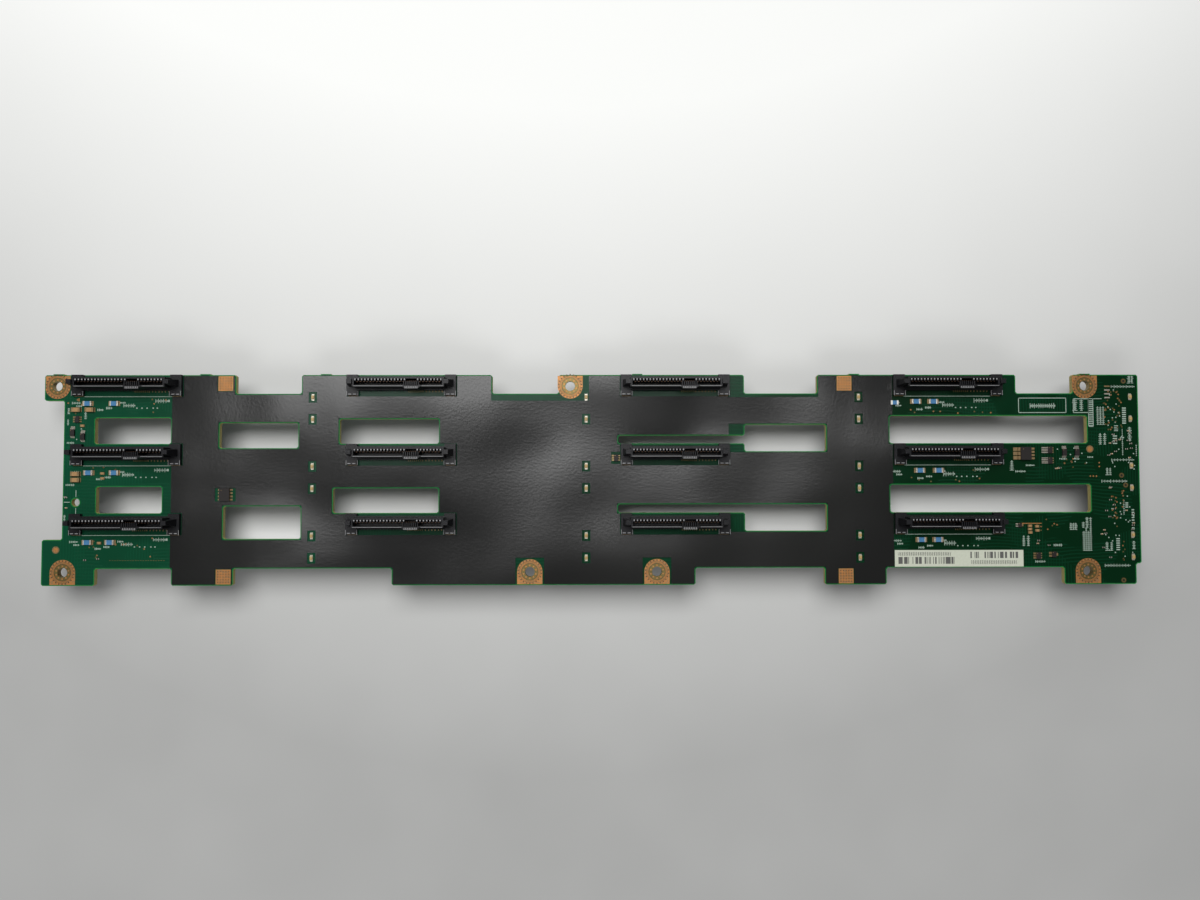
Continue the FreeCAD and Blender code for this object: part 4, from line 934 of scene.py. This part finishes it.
PORT_PITCH, SLOT_HALF, SLOT_LEVEL = 0.75 * MM, 0.6 * MM, 1.9 * MM
PORT_CONTACTS = 22
rear_metal = []
for port in range(3):
    low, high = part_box(f"port_core_{port}")
    x, y = (low[0] + high[0]) / 2, (low[1] + high[1]) / 2
    for index in range(PORT_CONTACTS):
        level = y + (index - (PORT_CONTACTS - 1) / 2) * PORT_PITCH
        for side in (-1, 1):
            walls = (x + side * (SLOT_HALF - 0.16 * MM), x + side * (SLOT_HALF + 0.02 * MM))
            start = (min(walls), level - 0.2 * MM, SLOT_LEVEL + 0.4 * MM)
            end = (max(walls), level + 0.2 * MM, SLOT_LEVEL + 6 * MM)
            rear_metal.append(slab(start, end, GOLD))

blob = disc(0, 0, 0.75 * MM, REAR - 0.35 * MM, REAR, 14)
soften(blob, 0.3 * MM, 3)
dress(blob, TIN)
solder_points = []
for port in range(3):
    low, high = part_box(f"port_shell_{port}")
    for x in (low[0] - 0.9 * MM, high[0] + 0.9 * MM):
        solder_points += [(x, low[1] + (high[1] - low[1]) * share, 0) for share in (0.1, 0.5, 0.9)]
for index in range(12):
    low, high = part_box(f"drive_connector_{index}")
    x, y = (low[0] + high[0]) / 2, (low[1] + high[1]) / 2
    solder_points += [(x + reach * MM, y - 1 * MM, 0) for reach in (-19.2, 19.2)]
rear_metal += [cast(blob.data, Matrix.Translation(point)) for point in solder_points]
bpy.data.objects.remove(blob)

chip_low, chip_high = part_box("controller_chip")
foot = [*chip_low[:2], REAR]
top = [*chip_high[:2], REAR - (chip_high[2] - chip_low[2])]
for side in (LEFT, RIGHT, BELOW, ABOVE):
    rear_metal += lead_row(foot, top, side, 16, 1.1 * MM, TIN, 0.45)
mount(join("rear_metal", rear_metal), "pin_tin")

behind = []
for x, y in strewn(
    (-59, -55.5, 0, 22, 9), (-37, -32, 0, 22, 10), (-19, -15, 2, 22, 8), (-1, 7.5, -8, 22, 14),
    (93, 98.5, -8, 20, 7), (-113, -104, -10, -3, 7), (-164.5, -162.5, -12, 8, 4),
):
    size = spots.choice(((1.6, 0.8, 0.5), (2.0, 1.25, 0.7), (1.0, 0.5, 0.35)))
    near, far = seat_at(x, y, *size)
    near[2], far[2] = REAR - size[2] * MM, REAR
    behind += capped_chip(near, far, spots.choice((TAN, BLACK_CHIP)), 0.24)
mount(join("rear_chips", behind), "capacitor_tan")


# Floor, light and camera. The board lies on a pale matt sheet whose colour is painted greyer towards its
# near side and its ends, a painted falloff of light, and painted lighter under the board against its
# shadow; it lies under one wide soft lamp beyond its top edge and a weak one at its near side.

def pale_floor():
    """Pale matt paper with a painted falloff of light, greyer towards the near side and the ends, and
    painted lighter under the board, which takes the board's shadow out of the vents.
    """
    sheet = Finish("pale_floor", (0.5, 0.5, 0.49), 0.85, Specular_IOR_Level=0.1)
    across, up = sheet.along(0), sheet.along(1)
    # Painted light: the share falls towards the near side and towards both ends, where less lamp light
    # reaches.
    share = up * 0.0029 - across * (across * 0.000004 + 0.0001)
    inside = sheet.math("ADD", across * (across * -0.0000667) + 2.9, 0.0, clamp=True)
    # Painted light under the board, where the board's own shadow falls in the vents.
    painted_lift_under_board = sheet.math("MAXIMUM", 0.8 - across * 0.001 - up * (up * 0.0008), 0.0) * inside
    painted_light_share = sheet.math("MAXIMUM", share + painted_lift_under_board + 0.55, 0.2)
    shade = sheet.mix(painted_light_share, (0.19, 0.19, 0.187), (0.66, 0.665, 0.65))
    return sheet.feed("Base Color", sheet.mix(sheet.noise(60) * 0.12, shade, (0.7, 0.7, 0.69)))


bpy.ops.object.select_all(action="DESELECT")
bpy.ops.mesh.primitive_plane_add(size=6, location=(0, 0, -0.2 * MM))
floor = settle()
floor.name = "floor_sheet"
dress(floor, pale_floor())
floor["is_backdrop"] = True

world = bpy.data.worlds.new("soft_room")
world.use_nodes = True
room = world.node_tree.nodes["Background"]
room.inputs["Color"].default_value = (0.97, 0.98, 1, 1)
room.inputs["Strength"].default_value = 0.22
bpy.context.scene.world = world

for name, place, length, width, power in (
    ("wide_lamp", (-0.11, 0.49, 1.2), 1.0, 0.8, 21), ("low_fill", (-0.2, -0.9, 1.1), 0.8, 0.5, 5),
):
    bpy.ops.object.light_add(type="AREA", location=place)
    lamp = bpy.context.object
    lamp.name = name
    lamp.data.shape = "RECTANGLE"
    lamp.data.size, lamp.data.size_y = length, width
    lamp.data.energy = power
    lamp.rotation_euler = (-lamp.location).to_track_quat("-Z", "Y").to_euler()

camera = bpy.data.objects.new("camera", bpy.data.cameras.new("camera"))
bpy.context.collection.objects.link(camera)
camera.location = (0.356 * MM, -2.987 * MM, FRONT + 371.86 * MM)
camera.rotation_euler = [math.radians(turn) for turn in (2.2456, -0.349, -0.074)]
camera.data.sensor_width = 36
camera.data.lens = 28.37
bpy.context.scene.camera = camera
bpy.context.scene.view_settings.view_transform = "Standard"


# The box of the construction and of the finished model, for comparison.

sizes = {"cad": cad_box, "visual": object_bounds()}
{name: [list(corner) for corner in box] for name, box in sizes.items()}
